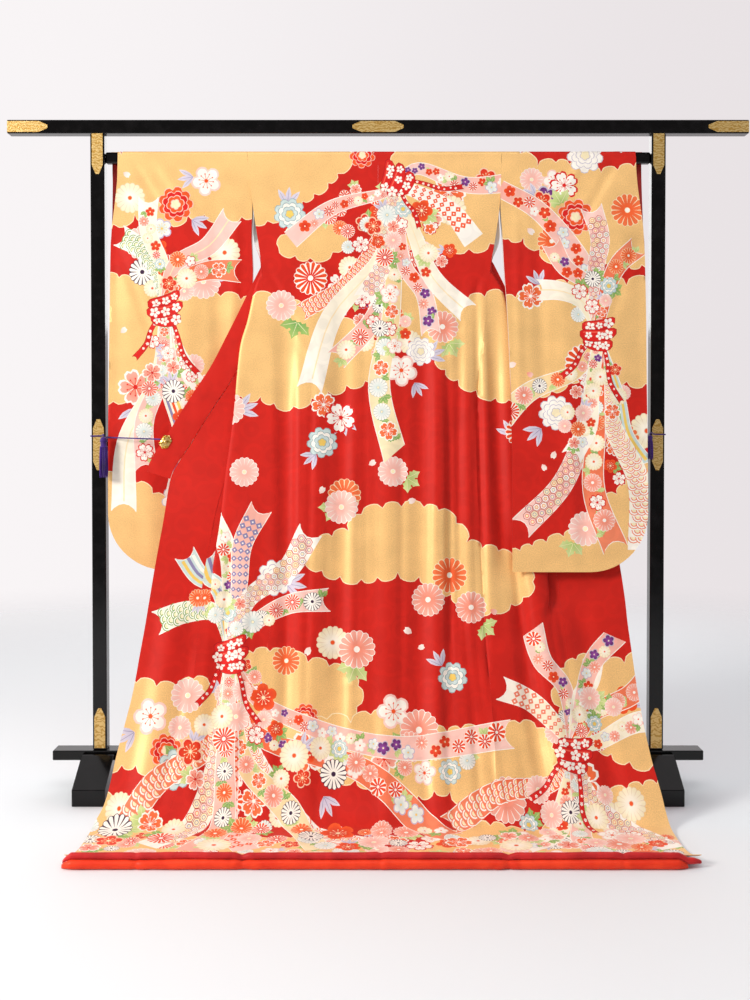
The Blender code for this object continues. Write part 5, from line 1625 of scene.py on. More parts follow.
def ribbon(points, startWidth, endWidth, colour, pattern, seed, notch):
    strip = Strip(points, startWidth, endWidth)
    tint = ribbonTint.get(colour)
    inner = strip.outline(ribbonRim, notch)
    shapes = [polygon(strip.outline(0.0, notch), "white")]
    if tint:
        shapes.append(polygon(inner, colour, tint, tuple(points[0]), strip.length))
    else:
        shapes.append(polygon(inner, colour))
    return shapes + patterns[pattern](strip, random.Random(seed))


# A bundle: ribbons fan out from a red tie that holds them

ribbonSway = 0.1
tieRim = 0.9
# each turn's place from below, its share of the tie's width, and how far it leans
tieTurns = ((2, 0.9, 0.13), (0, 0.82, -0.04), (1, 1.0, 0.07))
Ray = namedtuple("Ray", "bendX bendLevel endX endLevel startWidth endWidth colour pattern notch")
whiteSpark = fan(5, ((0.1, 0.06), (0.6, 0.36), (0.95, 0.2), (1.0, 0.0)), "white")


def tie(width, height, turn, seed):
    # a soft red band wound three times about the ribbons: each turn is rounded, lit along its upper side and
    # scattered with white blossoms
    rng = random.Random(seed)
    shapes = []
    half = height / 5.0  # half a turn's own height
    spread = np.linspace(-1, 1, 13)
    hearted = whiteSpark + [polygon(ring(0.2, 6), "scarlet")]
    for k, long, lean in tieTurns:
        reach = long * width / 2

        def middle(x):
            return height * (k - 1) / 3.1 + height * (lean * x + 0.1 * (x * x - 0.4))

        thick = [half * (0.35 + 0.65 * (1 - abs(x) ** 3.2) ** 0.5) for x in spread]
        tops = [(x * reach, middle(x) + t) for x, t in zip(spread, thick)]
        lows = [(x * reach, middle(x) - t) for x, t in zip(spread, thick)][::-1]
        lit = [(x, y - half * 0.3) for x, y in tops[1:-1]] + [(x, y - half * 0.52) for x, y in tops[-2:0:-1]]
        rim = [(x * 1.02, y + tieRim) for x, y in tops] + [(x * 1.02, y - tieRim) for x, y in lows]
        shapes += [polygon(rim, "tieShade"), polygon(tops + lows, "scarlet"), polygon(lit, "tieLight")]
        for x in (-0.62, 0.0, 0.6):
            across = x + rng.uniform(-0.14, 0.14)
            spot = (across * reach, middle(across) + rng.uniform(-1.5, 1.5))
            shapes += place(hearted, spot, half * rng.uniform(0.6, 0.95), rng.uniform(0, 6))
    return place(shapes, (0, 0), 1.0, turn)


def tieTail(points, width, seed):
    # a tail of the tie's own red cloth
    rng = random.Random(seed)
    strip = Strip(points, width * 0.6, width)
    shapes = [polygon(strip.outline(0.0, 0.35), "tieShade"), polygon(strip.outline(tieRim, 0.35), "scarlet")]
    along = width * 0.8
    while along < strip.length - width:
        shapes += place(whiteSpark, strip.at(along, rng.uniform(-0.3, 0.3)), width * rng.uniform(0.2, 0.28),
                        rng.uniform(0, 6))
        along += width * rng.uniform(0.9, 1.3)
    return shapes


def knotTails(centre, width, turn, seed):
    # the tie's ends: two tails that hang and curl
    rng = random.Random(seed)
    shapes = []
    # each tail's side, and its reach, drop and curl in widths of the tie
    for sign, reach, drop, curl in ((-1, 0.62, 1.25, 0.36), (1, 0.4, 1.85, 0.34)):
        course = [(0.12, 0.1), (reach * 0.7, drop * 0.4), (reach, drop * 0.72), (reach + curl, drop)]
        course = [(sign * width * x, -width * y) for x, y in course]
        shapes += tieTail(course, width * rng.uniform(0.15, 0.18), seed + 5 + sign)
    return place(shapes, centre, 1.0, turn)


def bundle(centre, rays, turn, width, height, seed, crowd=()):
    # ribbons gathered by a tie, with flowers of the crowd over the ribbons and under the tie
    shapes = []
    centre = np.array(centre, dtype=float)
    for i, ray in enumerate(rays):
        start = np.array((0.0, height * 0.2 if ray.endLevel > 0 else -height * 0.2))
        bend, end = np.array((ray.bendX * 0.6, ray.bendLevel)), np.array((ray.endX, ray.endLevel))
        aside = np.array((bend[1] - end[1], end[0] - bend[0])) * (ribbonSway if i % 2 else -ribbonSway)
        course = [tuple(centre + point) for point in (start, bend, mix(bend, end, 0.5) + aside, end)]
        shapes += ribbon(course, ray.startWidth, ray.endWidth, ray.colour, ray.pattern, seed + i, ray.notch)
    for row in crowd:
        shapes += cluster(row._replace(x=row.x + centre[0], level=row.level + centre[1]))
    return shapes + knotTails(centre, width, turn, seed) + place(tie(width, height, turn, seed), centre, 1.0)


Flower = namedtuple("Flower", "kind x level size turn")
Cluster = namedtuple("Cluster", "x level wide high count least most seed")
clusterKinds = (
    "whiteMum", "coralMum", "pinkMum", "blushMum", "coralStar", "whiteMum", "whitePlum", "redPlum",
    "orangePlum", "blushMum", "coralCherry", "whiteCherry", "mistPeony", "inkMum", "pinkCherry", "mistMum",
)
flowerApart = 0.86  # of the sum of two flowers' sizes
smallFlower = 15.0  # up to this size a flower is drawn with fewer petals
leafShare = 0.5


def flowers(table):
    shapes = []
    for row in table:
        shapes += place(motifs[row.kind], (row.x, row.level), row.size, math.radians(row.turn))
    return shapes


def cluster(row):
    # flowers of mixed kind and size that crowd an oval, leaves under them, none on top of another's heart
    rng = random.Random(row.seed)
    found = []
    under, over = [], []
    for _ in range(row.count * 14):  # tries
        if len(found) == row.count:
            break
        angle, reach = rng.uniform(0, 2 * math.pi), math.sqrt(rng.random())
        spot = (row.x + row.wide / 2 * reach * math.cos(angle),
                row.level + row.high / 2 * reach * math.sin(angle))
        size = rng.uniform(row.least, row.most)
        if any(math.dist(spot, other) < flowerApart * (size + otherSize) for other, otherSize in found):
            continue
        found.append((spot, size))
        kind = rng.choice(clusterKinds)
        library = motifs if size > smallFlower or kind not in small else small
        over += place(library[kind], spot, size, anyTurn(rng))
        if rng.random() < leafShare:
            leaf = motifs[rng.choice(("greenLeaves", "limeLeaves", "lavenderLeaves"))]
            away = anyTurn(rng)
            root = (spot[0] + size * 0.6 * math.cos(away), spot[1] + size * 0.6 * math.sin(away))
            under += place(leaf, root, size * 1.15, away)
    return under + over


# The pictures: (x, level) in millimetres; the body's runs over both backs, fronts and okumi as one

bodyClouds = {
    "left shoulder": ((-330, 1640), (-330, 1440), (-272, 1418), (-218, 1448), (-150, 1492), (-92, 1548),
        (-60, 1640)),
    "under the left shoulder": ((-246, 1352), (-176, 1326), (-112, 1340), (-76, 1386), (-124, 1412),
        (-206, 1402)),
    "left band": ((-360, 1214), (-290, 1230), (-222, 1218), (-150, 1196), (-70, 1160), (4, 1108),
        (-4, 1036), (-80, 1012), (-150, 984), (-222, 958), (-292, 986), (-360, 1006)),
    "right shoulder": ((64, 1640), (46, 1540), (14, 1446), (58, 1372), (124, 1342), (186, 1362),
        (246, 1344), (306, 1388), (332, 1404), (332, 1640)),
    "right band": ((-12, 1256), (42, 1276), (112, 1236), (182, 1222), (256, 1230), (350, 1222),
        (350, 1000), (284, 982), (226, 1008), (168, 1046), (116, 1104), (58, 1122), (8, 1094)),
    "island": ((-176, 588), (-142, 640), (-78, 654), (-34, 704), (58, 718), (138, 712), (192, 676),
        (222, 626), (292, 612), (352, 574), (370, 520), (302, 478), (232, 468), (188, 500), (128, 536),
        (58, 560), (-24, 544), (-92, 550)),
    "outer left skirt": ((-700, 296), (-566, 304), (-486, 288), (-420, 316), (-372, 250), (-398, 150),
        (-470, 108), (-562, 122), (-700, 140)),
    "inner left skirt": ((-340, 352), (-256, 376), (-164, 350), (-84, 332), (-40, 280), (-72, 226),
        (-152, 192), (-232, 166), (-304, 186), (-352, 262)),
    "middle band": ((-150, 224), (-70, 214), (0, 236), (72, 214), (132, 190), (202, 202), (272, 188),
        (332, 214), (396, 188), (404, 108), (332, 62), (242, 42), (152, 72), (62, 58), (-32, 88),
        (-112, 108), (-168, 166)),
    "outer right skirt": ((424, 318), (498, 366), (572, 346), (700, 372), (700, 150), (606, 128),
        (542, 150), (478, 186), (428, 248)),
    "hem, left": ((-740, 66), (-606, 52), (-512, 16), (-424, -34), (-382, -124), (-404, -260),
        (-740, -260)),
    "hem, middle": ((-360, -40), (-256, -72), (-156, -60), (-64, -108), (4, -170), (24, -260),
        (-366, -260)),
    "hem, right": ((156, -24), (262, 8), (336, -20), (424, 22), (522, 60), (626, 84), (740, 66),
        (740, -260), (42, -260), (92, -122)),
    "left front, high": ((-366, 1640), (-372, 1500), (-446, 1444), (-534, 1470), (-604, 1640)),
    "right front, high": ((356, 1640), (368, 1480), (440, 1430), (520, 1466), (590, 1640)),
}

shoulderRays = rowsOf(Ray, (
    (-60, -34, -262, -148, 20, 50, "pink", "blossoms", 0.0),
    (-84, -150, -238, -330, 20, 44, "coral", "waves", 0.3),
    (-62, -190, -214, -520, 24, 62, "cream", "plain", 0.3),
    (-20, -220, -150, -446, 22, 56, "blush", "large", 0.3),
    (-22, -330, -2, -690, 26, 62, "gold", "large", -0.5),
    (26, -200, 84, -384, 22, 48, "pink", "blossoms", 0.3),
    (70, -130, 176, -330, 20, 56, "cream", "plain", 0.3),
    (86, -30, 190, -150, 26, 56, "white", "lattice", 0.0),
    (90, 30, 300, -4, 24, 50, "blush", "blossoms", 0.0),
    (-40, -120, -84, -300, 20, 50, "cream", "hexagons", 0.3),
))
leftSkirtRays = rowsOf(Ray, (
    (-50, 96, -182, 74, 26, 58, "cream", "waves", 0.3),
    (-46, 150, -118, 240, 24, 54, "mist", "stripes", 0.3),
    (-6, 150, -54, 330, 24, 52, "cream", "blossoms", -0.4),
    (30, 160, 70, 352, 24, 56, "blush", "lattice", 0.3),
    (66, 130, 190, 296, 26, 62, "white", "hexagons", 0.3), (80, 70, 236, 130, 24, 56, "pink", "large", 0.3),
    (-60, -190, -252, -420, 26, 66, "coral", "waves", 0.3),
    (-36, -210, -152, -470, 26, 66, "cream", "hexagons", 0.0),
    (160, -120, 668, -176, 24, 64, "pink", "blossoms", 0.3),
    (120, -180, 520, -420, 26, 66, "coral", "blossoms", 0.3),
    (90, -210, 366, -470, 26, 66, "white", "waves", 0.3),
    (60, -230, 226, -500, 26, 66, "gold", "large", 0.0),
    (10, -230, 68, -500, 26, 62, "pink", "lattice", 0.0),
    (-8, -230, -56, -510, 26, 66, "blush", "large", 0.0),
))
rightSkirtRays = rowsOf(Ray, (
    (-60, 60, -168, 146, 24, 56, "cream", "lattice", 0.3),
    (-20, 140, -88, 290, 24, 52, "pink", "blossoms", -0.4),
    (36, 120, 58, 210, 24, 50, "cream", "plain", 0.3),
    (50, 130, 118, 270, 24, 54, "blush", "blossoms", -0.4),
    (90, 90, 216, 206, 26, 58, "coral", "large", 0.3), (110, 30, 250, 72, 24, 56, "cream", "blossoms", 0.0),
    (-90, -60, -300, -150, 24, 60, "coral", "waves", 0.3),
    (-50, -100, -150, -280, 26, 62, "cream", "blossoms", 0.3),
    (10, -110, 20, -310, 26, 62, "pink", "large", 0.0),
    (70, -100, 180, -270, 26, 62, "white", "hexagons", 0.0),
))
leftSleeveRays = rowsOf(Ray, (
    (-34, 100, -116, 186, 22, 56, "white", "waves", 0.3),
    (-10, 110, -40, 280, 24, 50, "cream", "blossoms", 0.3),
    (40, 110, 168, 236, 24, 56, "pink", "plain", 0.3), (60, 70, 190, 96, 26, 58, "coral", "large", 0.3),
    (70, -120, 206, -280, 22, 56, "white", "large", 0.3),
    (40, -170, 120, -420, 24, 58, "blush", "blossoms", 0.3),
    (-30, -170, -104, -500, 26, 64, "cream", "plain", 0.3),
    (10, -180, 30, -460, 24, 60, "cream", "stripes", 0.3),
    (-14, -160, -48, -400, 24, 56, "pink", "large", 0.3),
))
rightSleeveRays = rowsOf(Ray, (
    (-60, 80, -150, 110, 24, 54, "cream", "plain", 0.3),
    (-40, 120, -112, 232, 24, 50, "blush", "blossoms", 0.3),
    (-6, 150, -10, 320, 26, 54, "pink", "hexagons", 0.3),
    (40, 110, 106, 220, 24, 54, "coral", "large", 0.3),
    (-90, -90, -262, -238, 24, 60, "gold", "large", 0.0),
    (-60, -220, -196, -470, 26, 60, "pink", "hexagons", 0.3),
    (70, -150, 112, -330, 24, 56, "mist", "stripes", 0.3),
    (46, -210, 96, -520, 26, 66, "cream", "waves", 0.0),
    (-14, -230, 34, -520, 26, 64, "coral", "large", 0.3),
    (-30, -140, -70, -300, 24, 52, "cream", "blossoms", 0.3),
))

bodyFlowers = rowsOf(Flower, (
    ("lavenderLeaves", -224, 1458, 46, 84), ("mistPeony", -218, 1436, 40, 10),
    ("coralPeony", -39, 1583, 33, 0), ("greenLeaves", -198, 1167, 44, 250),
    ("coralStar", -166, 1276, 42, 0), ("blushMum", -238, 1209, 38, 0),
    ("lavenderLeaves", -91, 1226, 44, 250), ("whiteCherry", -95, 1260, 34, 20),
    ("purpleMum", -41, 1232, 32, 0), ("coralCherry", 175, 1492, 45, 12), ("whiteMum", 181, 1445, 38, 0),
    ("limeLeaves", 37, 1506, 44, 240), ("pinkCherry", 131, 1432, 34, 0), ("orangePlum", 267, 1525, 28, 0),
    ("whitePetal", 119, 1359, 22, 300), ("whitePetal", 154, 1256, 20, 40),
    ("whitePetal", 214, 1222, 18, 340), ("coralMum", 30, 1178, 36, 0), ("limeLeaves", 174, 1116, 40, 300),
    ("pinkMum", 158, 1156, 40, 0), ("whiteMum", 78, 1118, 30, 0), ("lavenderLeaves", 121, 1084, 46, 20),
    ("whitePeony", 105, 1096, 36, 0), ("whitePlum", 57, 1049, 40, 20),
    ("lavenderLeaves", 89, 1019, 38, 300), ("coralCherry", -133, 964, 32, 10),
    ("lavenderLeaves", -86, 934, 46, 280), ("whiteCherry", -91, 934, 41, 8),
    ("lavenderLeaves", -150, 844, 40, 220), ("mistPeony", -136, 872, 38, 40),
    ("lavenderLeaves", -340, 951, 50, 20), ("blushMum", -364, 955, 40, 0), ("blushMum", -325, 801, 36, 0),
    ("whitePetal", -14, 823, 20, 30), ("limeLeaves", 70, 786, 36, 330), ("blushMum", 36, 802, 37, 0),
    ("lavenderLeaves", 328, 890, 44, 120), ("coralStar", 346, 898, 36, 10),
    ("whitePetal", 82, 732, 20, 200), ("whitePetal", -136, 757, 20, 60), ("limeLeaves", -106, 717, 40, 240),
    ("coralMum", -82, 745, 41, 0), ("blushMum", -89, 717, 41, 0), ("coralMum", 172, 554, 43, 0),
    ("pinkMum", 120, 496, 40, 0), ("limeLeaves", 251, 436, 36, 320), ("pinkMum", 223, 478, 38, 0),
    ("whitePetal", 71, 423, 22, 150), ("whitePetal", 103, 385, 18, 20), ("pinkPetal", 277, 468, 19, 330),
    ("lavenderLeaves", -222, 534, 52, 350), ("whitePeony", -248, 548, 44, 0),
    ("limeLeaves", -55, 344, 46, 250), ("whiteMum", -109, 396, 39, 0), ("pinkMum", -51, 380, 45, 0),
    ("whitePetal", -167, 376, 22, 240), ("coralMum", -219, 354, 34, 0),
    ("lavenderLeaves", 151, 342, 40, 120), ("mistPeony", 177, 316, 36, 0), ("whitePlum", 36, 239, 40, 0),
    ("pinkMum", 96, 199, 46, 0), ("coralPeony", -172, 226, 32, 0), ("lavenderLeaves", -572, 194, 48, 210),
    ("whitePlum", -536, 228, 42, 0), ("coralPeony", -496, 154, 38, 0), ("blushMum", -451, 275, 40, 0),
    ("greenLeaves", -469, 139, 40, 200), ("mistPeony", -471, 115, 44, 0),
    ("lavenderLeaves", -126, 61, 42, 300), ("coralCherry", -169, 150, 48, 0), ("pinkMum", 295, 55, 46, 0),
    ("coralCherry", 469, 91, 48, 0), ("whiteMum", 542, 9, 44, 0), ("lavenderLeaves", 602, 255, 40, 30),
    ("redPlum", 586, 265, 32, 0), ("coralCherry", -431, 1555, 40, 0), ("whiteMum", 430, 1510, 40, 0),
))
bodyClusters = rowsOf(Cluster, (
    (-60, 1440, 130, 120, 9, 14, 30, 71), (96, 1380, 110, 130, 8, 14, 28, 73),
    (-300, 60, 170, 150, 12, 16, 34, 79), (-40, -40, 220, 90, 10, 16, 32, 83),
    (-30, 1340, 120, 190, 16, 14, 30, 3), (-12, 1180, 70, 200, 10, 14, 28, 5),
    (-322, 288, 90, 120, 9, 16, 30, 7), (96, 128, 230, 70, 14, 18, 34, 11),
    (-590, -40, 150, 190, 17, 18, 38, 13), (-420, -150, 200, 130, 14, 18, 38, 17),
    (-180, -130, 240, 140, 17, 18, 40, 19), (110, -120, 280, 150, 19, 18, 38, 23),
    (360, -110, 230, 150, 16, 18, 38, 29), (580, -110, 180, 150, 14, 18, 38, 31),
    (470, 196, 110, 90, 8, 16, 32, 37),
))

leftSleeveClouds = {
    "top": ((-700, 1572), (-640, 1582), (-580, 1620), (-300, 1640), (-300, 1440), (-352, 1432),
        (-404, 1424), (-452, 1440), (-520, 1412), (-590, 1436), (-640, 1420), (-700, 1400)),
    "middle": ((-700, 1262), (-620, 1276), (-560, 1262), (-500, 1240), (-450, 1226), (-400, 1236),
        (-352, 1224), (-300, 1216), (-300, 1000), (-380, 1010), (-450, 986), (-520, 1000), (-600, 996),
        (-700, 986)),
    "bottom": ((-700, 770), (-636, 782), (-572, 756), (-512, 700), (-452, 676), (-392, 640), (-300, 632),
        (-300, 500), (-700, 500)),
}
leftSleeveFlowers = rowsOf(Flower, (
    ("whitePetal", -622, 1535, 20, 330), ("whiteMum", -614, 1477, 38, 0), ("whitePlum", -425, 1519, 38, 10),
    ("lavenderLeaves", -457, 1529, 40, 190), ("lavenderLeaves", -461, 1423, 44, 330),
    ("coralPeony", -501, 1461, 45, 14), ("blushMum", -583, 1365, 43, 0), ("redPlum", -545, 1353, 24, 0),
    ("mistPlum", -535, 1401, 26, 0), ("limeLeaves", -401, 1305, 46, 10), ("whiteMum", -380, 1342, 39, 0),
    ("blushMum", -433, 1271, 44, 0), ("blushMum", -451, 1306, 36, 0), ("violetPlum", -384, 1294, 24, 0),
    ("inkMum", -584, 1294, 34, 0), ("whitePetal", -631, 1150, 20, 40), ("whitePetal", -533, 1115, 20, 120),
    ("pinkPetal", -501, 1077, 18, 30), ("lavenderLeaves", -604, 957, 50, 250),
    ("pinkCherry", -602, 1009, 46, 0), ("coralPeony", -372, 1050, 34, 0), ("coralStar", -408, 1002, 44, 0),
    ("whitePeony", -494, 728, 44, 0), ("coralMum", -382, 680, 38, 0),
))
leftSleeveClusters = rowsOf(Cluster, (
    (-520, 1272, 100, 90, 7, 14, 26, 41), (-476, 1010, 120, 150, 10, 14, 28, 43),
    (-420, 860, 130, 200, 12, 16, 32, 47),
))

rightSleeveClouds = {
    "top": ((296, 1640), (380, 1560), (440, 1566), (500, 1556), (560, 1540), (620, 1552), (700, 1546),
        (700, 1340), (620, 1306), (552, 1312), (480, 1306), (420, 1322), (372, 1372), (296, 1396)),
    "middle": ((296, 1216), (352, 1226), (420, 1256), (486, 1264), (556, 1272), (620, 1256), (700, 1262),
        (700, 1040), (610, 1020), (540, 1036), (470, 1026), (400, 990), (296, 1002)),
    "bottom": ((296, 586), (346, 618), (420, 640), (476, 664), (516, 716), (566, 742), (620, 792),
        (700, 806), (700, 500), (296, 500)),
}
rightSleeveFlowers = rowsOf(Flower, (
    ("blushMum", 380, 1522, 30, 0), ("whitePlum", 436, 1518, 30, 0), ("lavenderLeaves", 561, 1605, 44, 20),
    ("whitePeony", 513, 1583, 46, 0), ("whitePetal", 607, 1605, 20, 120),
    ("lavenderLeaves", 392, 1478, 40, 150), ("whiteCherry", 460, 1507, 38, 0),
    ("violetPlum", 414, 1477, 30, 0), ("coralPeony", 487, 1428, 47, 10), ("limeLeaves", 451, 1462, 40, 120),
    ("coralMum", 615, 1445, 42, 0), ("orangePlum", 403, 1467, 28, 0), ("coralMum", 427, 1367, 36, 0),
    ("whitePetal", 376, 1392, 22, 320), ("lavenderLeaves", 395, 1258, 40, 110),
    ("coralCherry", 373, 1230, 34, 0), ("whitePetal", 327, 1062, 20, 200),
    ("pinkPetal", 369, 1038, 18, 330), ("lavenderLeaves", 395, 907, 46, 220),
    ("coralStar", 501, 1065, 48, 20), ("whitePeony", 431, 945, 43, 0), ("whiteMum", 651, 901, 44, 0),
    ("coralMum", 592, 878, 42, 0), ("whitePetal", 424, 843, 20, 250), ("whitePetal", 400, 813, 18, 300),
    ("whitePetal", 540, 725, 20, 310), ("blushMum", 498, 666, 42, 0), ("limeLeaves", 468, 632, 36, 250),
))
rightSleeveClusters = rowsOf(Cluster, (
    (520, 1210, 90, 80, 6, 14, 26, 53), (540, 990, 120, 120, 9, 14, 28, 59),
    (560, 830, 110, 160, 9, 14, 28, 61),
))


# Flowers over each bundle's ribbons, placed from its tie
leftSkirtCrowd = rowsOf(Cluster, (
    (40, 92, 110, 70, 5, 14, 27, 111), (-50, 120, 70, 120, 4, 13, 24, 113),
    (56, -130, 150, 110, 6, 18, 34, 115), (-60, -190, 120, 170, 6, 18, 34, 117),
    (210, -250, 200, 110, 7, 18, 36, 119), (-170, -400, 190, 130, 6, 20, 40, 121),
    (40, -430, 190, 130, 6, 20, 40, 123), (300, -430, 220, 130, 7, 20, 40, 125),
))
rightSkirtCrowd = rowsOf(Cluster, (
    (60, 96, 110, 70, 5, 14, 27, 127), (-70, -110, 120, 120, 5, 18, 32, 129),
    (90, -130, 130, 120, 5, 18, 34, 131), (-210, -230, 200, 110, 7, 20, 38, 133),
    (60, -250, 220, 110, 7, 20, 38, 135),
))
shoulderCrowd = rowsOf(Cluster, (
    (30, -84, 110, 60, 5, 14, 28, 137), (-46, -150, 90, 130, 6, 14, 27, 139),
    (86, -180, 90, 130, 5, 14, 27, 141), (-10, -330, 80, 200, 5, 14, 26, 143),
))
sleeveCrowd = rowsOf(Cluster, (
    (20, 104, 110, 80, 5, 14, 27, 145), (-20, -140, 80, 130, 5, 14, 27, 147),
    (46, -230, 90, 150, 5, 15, 30, 149),
))


def clouds(table, seed):
    shapes = []
    for i, points in enumerate(table.values()):
        shapes += cloud(points, seed + i)
    return shapes


def clusters(table):
    return [one for row in table for one in cluster(row)]


bodyPicture = clouds(bodyClouds, 100)
bodyPicture += flowers(bodyFlowers) + clusters(bodyClusters)
bodyPicture += bundle((-352, 366), leftSkirtRays, 0.06, 86, 76, 300, leftSkirtCrowd)
bodyPicture += bundle((456, 146), rightSkirtRays, -0.2, 88, 70, 400, rightSkirtCrowd)
bodyPicture += bundle((46, 1520), shoulderRays, 1.1, 84, 74, 200, shoulderCrowd)
leftSleevePicture = clouds(leftSleeveClouds, 500) + flowers(leftSleeveFlowers) + clusters(leftSleeveClusters)
leftSleevePicture += bundle((-528, 1200), leftSleeveRays, 0.1, 90, 74, 600, sleeveCrowd)
rightSleevePicture = clouds(rightSleeveClouds, 700) + flowers(rightSleeveFlowers)
rightSleevePicture += clusters(rightSleeveClusters)
rightSleevePicture += ribbon(((300, 1500), (400, 1440), (488, 1330), (522, 1240)), 44, 56, "pink",
                             "blossoms", 800, 0.0)
rightSleevePicture += bundle((536, 1136), rightSleeveRays, -0.06, 88, 72, 900,
                              [row._replace(x=-row.x, seed=row.seed + 40) for row in sleeveCrowd])
lowPicture = [one for one in bodyPicture if one.points[:, 1].max() < 640]
print("the print has", len(bodyPicture), len(leftSleevePicture), len(rightSleevePicture), "shapes")


# The garment's panels, each on its own solid

def declareSheet(rows):
    # the flat cut's outline, in metres; it is worked out here and not used, so no size or area is given
    outline = np.array(outlineOf(rows)) * millimetre


def makeBody():
    for side, sign, fronts in (("left", -1, leftFront), ("right", 1, rightFront)):
        for part, rows, surface in (
            ("back", backRows(sign, fronts), bodySurface),
            ("front", frontRows(sign, fronts), frontSurface(fronts, sign)),
            ("okumi", okumiRows(sign, fronts), okumiSurface(fronts)),
        ):
            shapes, carriers = bodyPicture, ["upper_rod"]
            if part == "okumi":
                shapes, carriers = lowPicture, ["front_%sSilk" % side, "collar_%sSilk" % side]
            piece = printedCloth(part + "_" + side, rows, surface, -1, shapes)
            declareSheet(rows)


def makeSleeves():
    for side, sign, sleeve, table, picture in (
        ("left", -1, leftSleeve, leftSleeveCreases, leftSleevePicture),
        ("right", 1, rightSleeve, rightSleeveCreases, rightSleevePicture),
    ):
        for layer, facing in (("near", -1), ("far", 1)):
            rows = sleeveRows(sign, sleeve, facing)
            surface = sleeveSurface(sleeve, facing, table)
            piece = printedCloth("sleeve_%s_%s" % (side, layer), rows, surface, facing, picture)
            declareSheet(rows)


makeBody()
makeSleeves()


# Collar halves: a doubled band, turned about its seam from the neck to the outer side

collarLook = {
    "neckHalf": 80.0,
    "neckCorner": 40.0,
    "setback": 5.0,
    "neckTurn": 15.0,  # degrees
    "clear": 1.3,
    "turnClear": 3.0,
    "top": 1560.0,
    "end": 783.0,
    "steps": 84,
    "columns": 10,
    "puff": 0.5,
    "thin": 0.62,  # the edges' thickness, against the middle's
    "uvAside": 0.2,  # metres that the collar's own pattern lies beside the panels'
    "sharpFrom": 50,
}
Turn = namedtuple("Turn", "level degrees")
collarTurns = rowsOf(Turn, (
    (1580.0, 55), (1540.0, 72), (1460.0, 90), (1400.0, 112), (1350.0, 140), (1290.0, 180),
))


def collarTurn(level):
    for upper, lower in zip(collarTurns, collarTurns[1:]):
        if level > lower.level:
            share = (upper.level - level) / (upper.level - lower.level)
            return mix(upper.degrees, lower.degrees, max(0.0, share))
    return collarTurns[-1].degrees


def collarRows(sign, fronts, steps):
    # the band's middle surface: rows along the seam, as (start, end, normal) of the band across it
    look = collarLook
    y = rodDepth / 2 + look["setback"]
    straight = look["neckHalf"] - look["neckCorner"]
    seam, turns = [], []
    for share in np.linspace(0.0, 1.0, 5):
        x = max(2 * gap, straight * share)
        seam.append(Vector((sign * x, y, rodTop)))
        turns.append(look["neckTurn"] * x / straight)
    for angle in (12, 25, 38, 50, 60):
        bend = math.radians(angle)
        x = straight + math.sin(bend) * look["neckCorner"]
        seam.append(Vector((sign * x, y, rodTop - (1 - math.cos(bend)) * look["neckCorner"])))
        turns.append(look["neckTurn"] + angle * 0.8)
    for k in range(steps + 1):
        share = k / steps
        level = mix(look["top"], look["end"], share * (0.6 + 0.4 * share))
        x = float(track(fronts, "edge", level))
        seam.append(Vector((sign * x, float(track(edgeDepth, "y", level)), level)))
        turns.append(collarTurn(level))
    rows = []
    for i, (point, turned) in enumerate(zip(seam, turns)):
        along = (seam[min(i + 1, len(seam) - 1)] - seam[max(i - 1, 0)]).normalized()
        if i == 0:
            along = Vector((sign, 0, 0))
        back = Vector((0, 1, 0)) - along * along.y
        back.normalize()
        inward = along.cross(back) * (1 if sign < 0 else -1)
        angle = math.radians(turned)
        across = inward * math.cos(angle) + back * math.sin(angle)
        clear = look["clear"] + look["turnClear"] * math.sin(angle)
        rows.append((point + across * clear, point + across * collarWidth, along.cross(across).normalized()))
    return rows


def collarHalf(side, sign, fronts, material):
    look = collarLook
    rows = collarRows(sign, fronts, look["steps"])
    bm = bmesh.new()
    where = bm.loops.layers.uv.new("cloth")
    rings, marks, run = [], [], 0.0
    outline = [(k / look["columns"], 1) for k in range(look["columns"] + 1)]
    outline += [(k / look["columns"], -1) for k in range(look["columns"], -1, -1)]
    for i, (start, end, normal) in enumerate(rows):
        if i:
            run += (start - rows[i - 1][0]).length
        ring = []
        for share, face in outline:
            swell = math.sin(math.pi * min(1.0, share)) ** 0.5
            wave = 0.35 * math.sin(run / 37.0 + 4 * share) + 0.25 * math.sin(run / 14.0 + 7 * share)
            half = collarWall / 2 * (look["thin"] + (1 - look["thin"]) * swell) + look["puff"] * swell * 0.5
            ring.append(start.lerp(end, share * 0.998) + normal * (face * half + wave * swell))
            marks.append((look["uvAside"] + share * collarWidth * millimetre, run * millimetre))
        rings.append(ring)
    loft(bm, rings)
    bm.verts.index_update()
    for face in bm.faces:
        for loop in face.loops:
            loop[where].uv = marks[loop.vert.index]
    piece = fromBmesh("collar_" + side, "Silk", bm, material, look["sharpFrom"])


# The grain is in millimetres from one crinkle to the next, and the crinkle is how deep it looks
Silk = namedtuple("Silk", "name colour shade roughness sheen grain crinkle")
plainLook = {"sheenRoughness": 0.4, "shine": 0.2, "patchesPerMetre": 26.0}


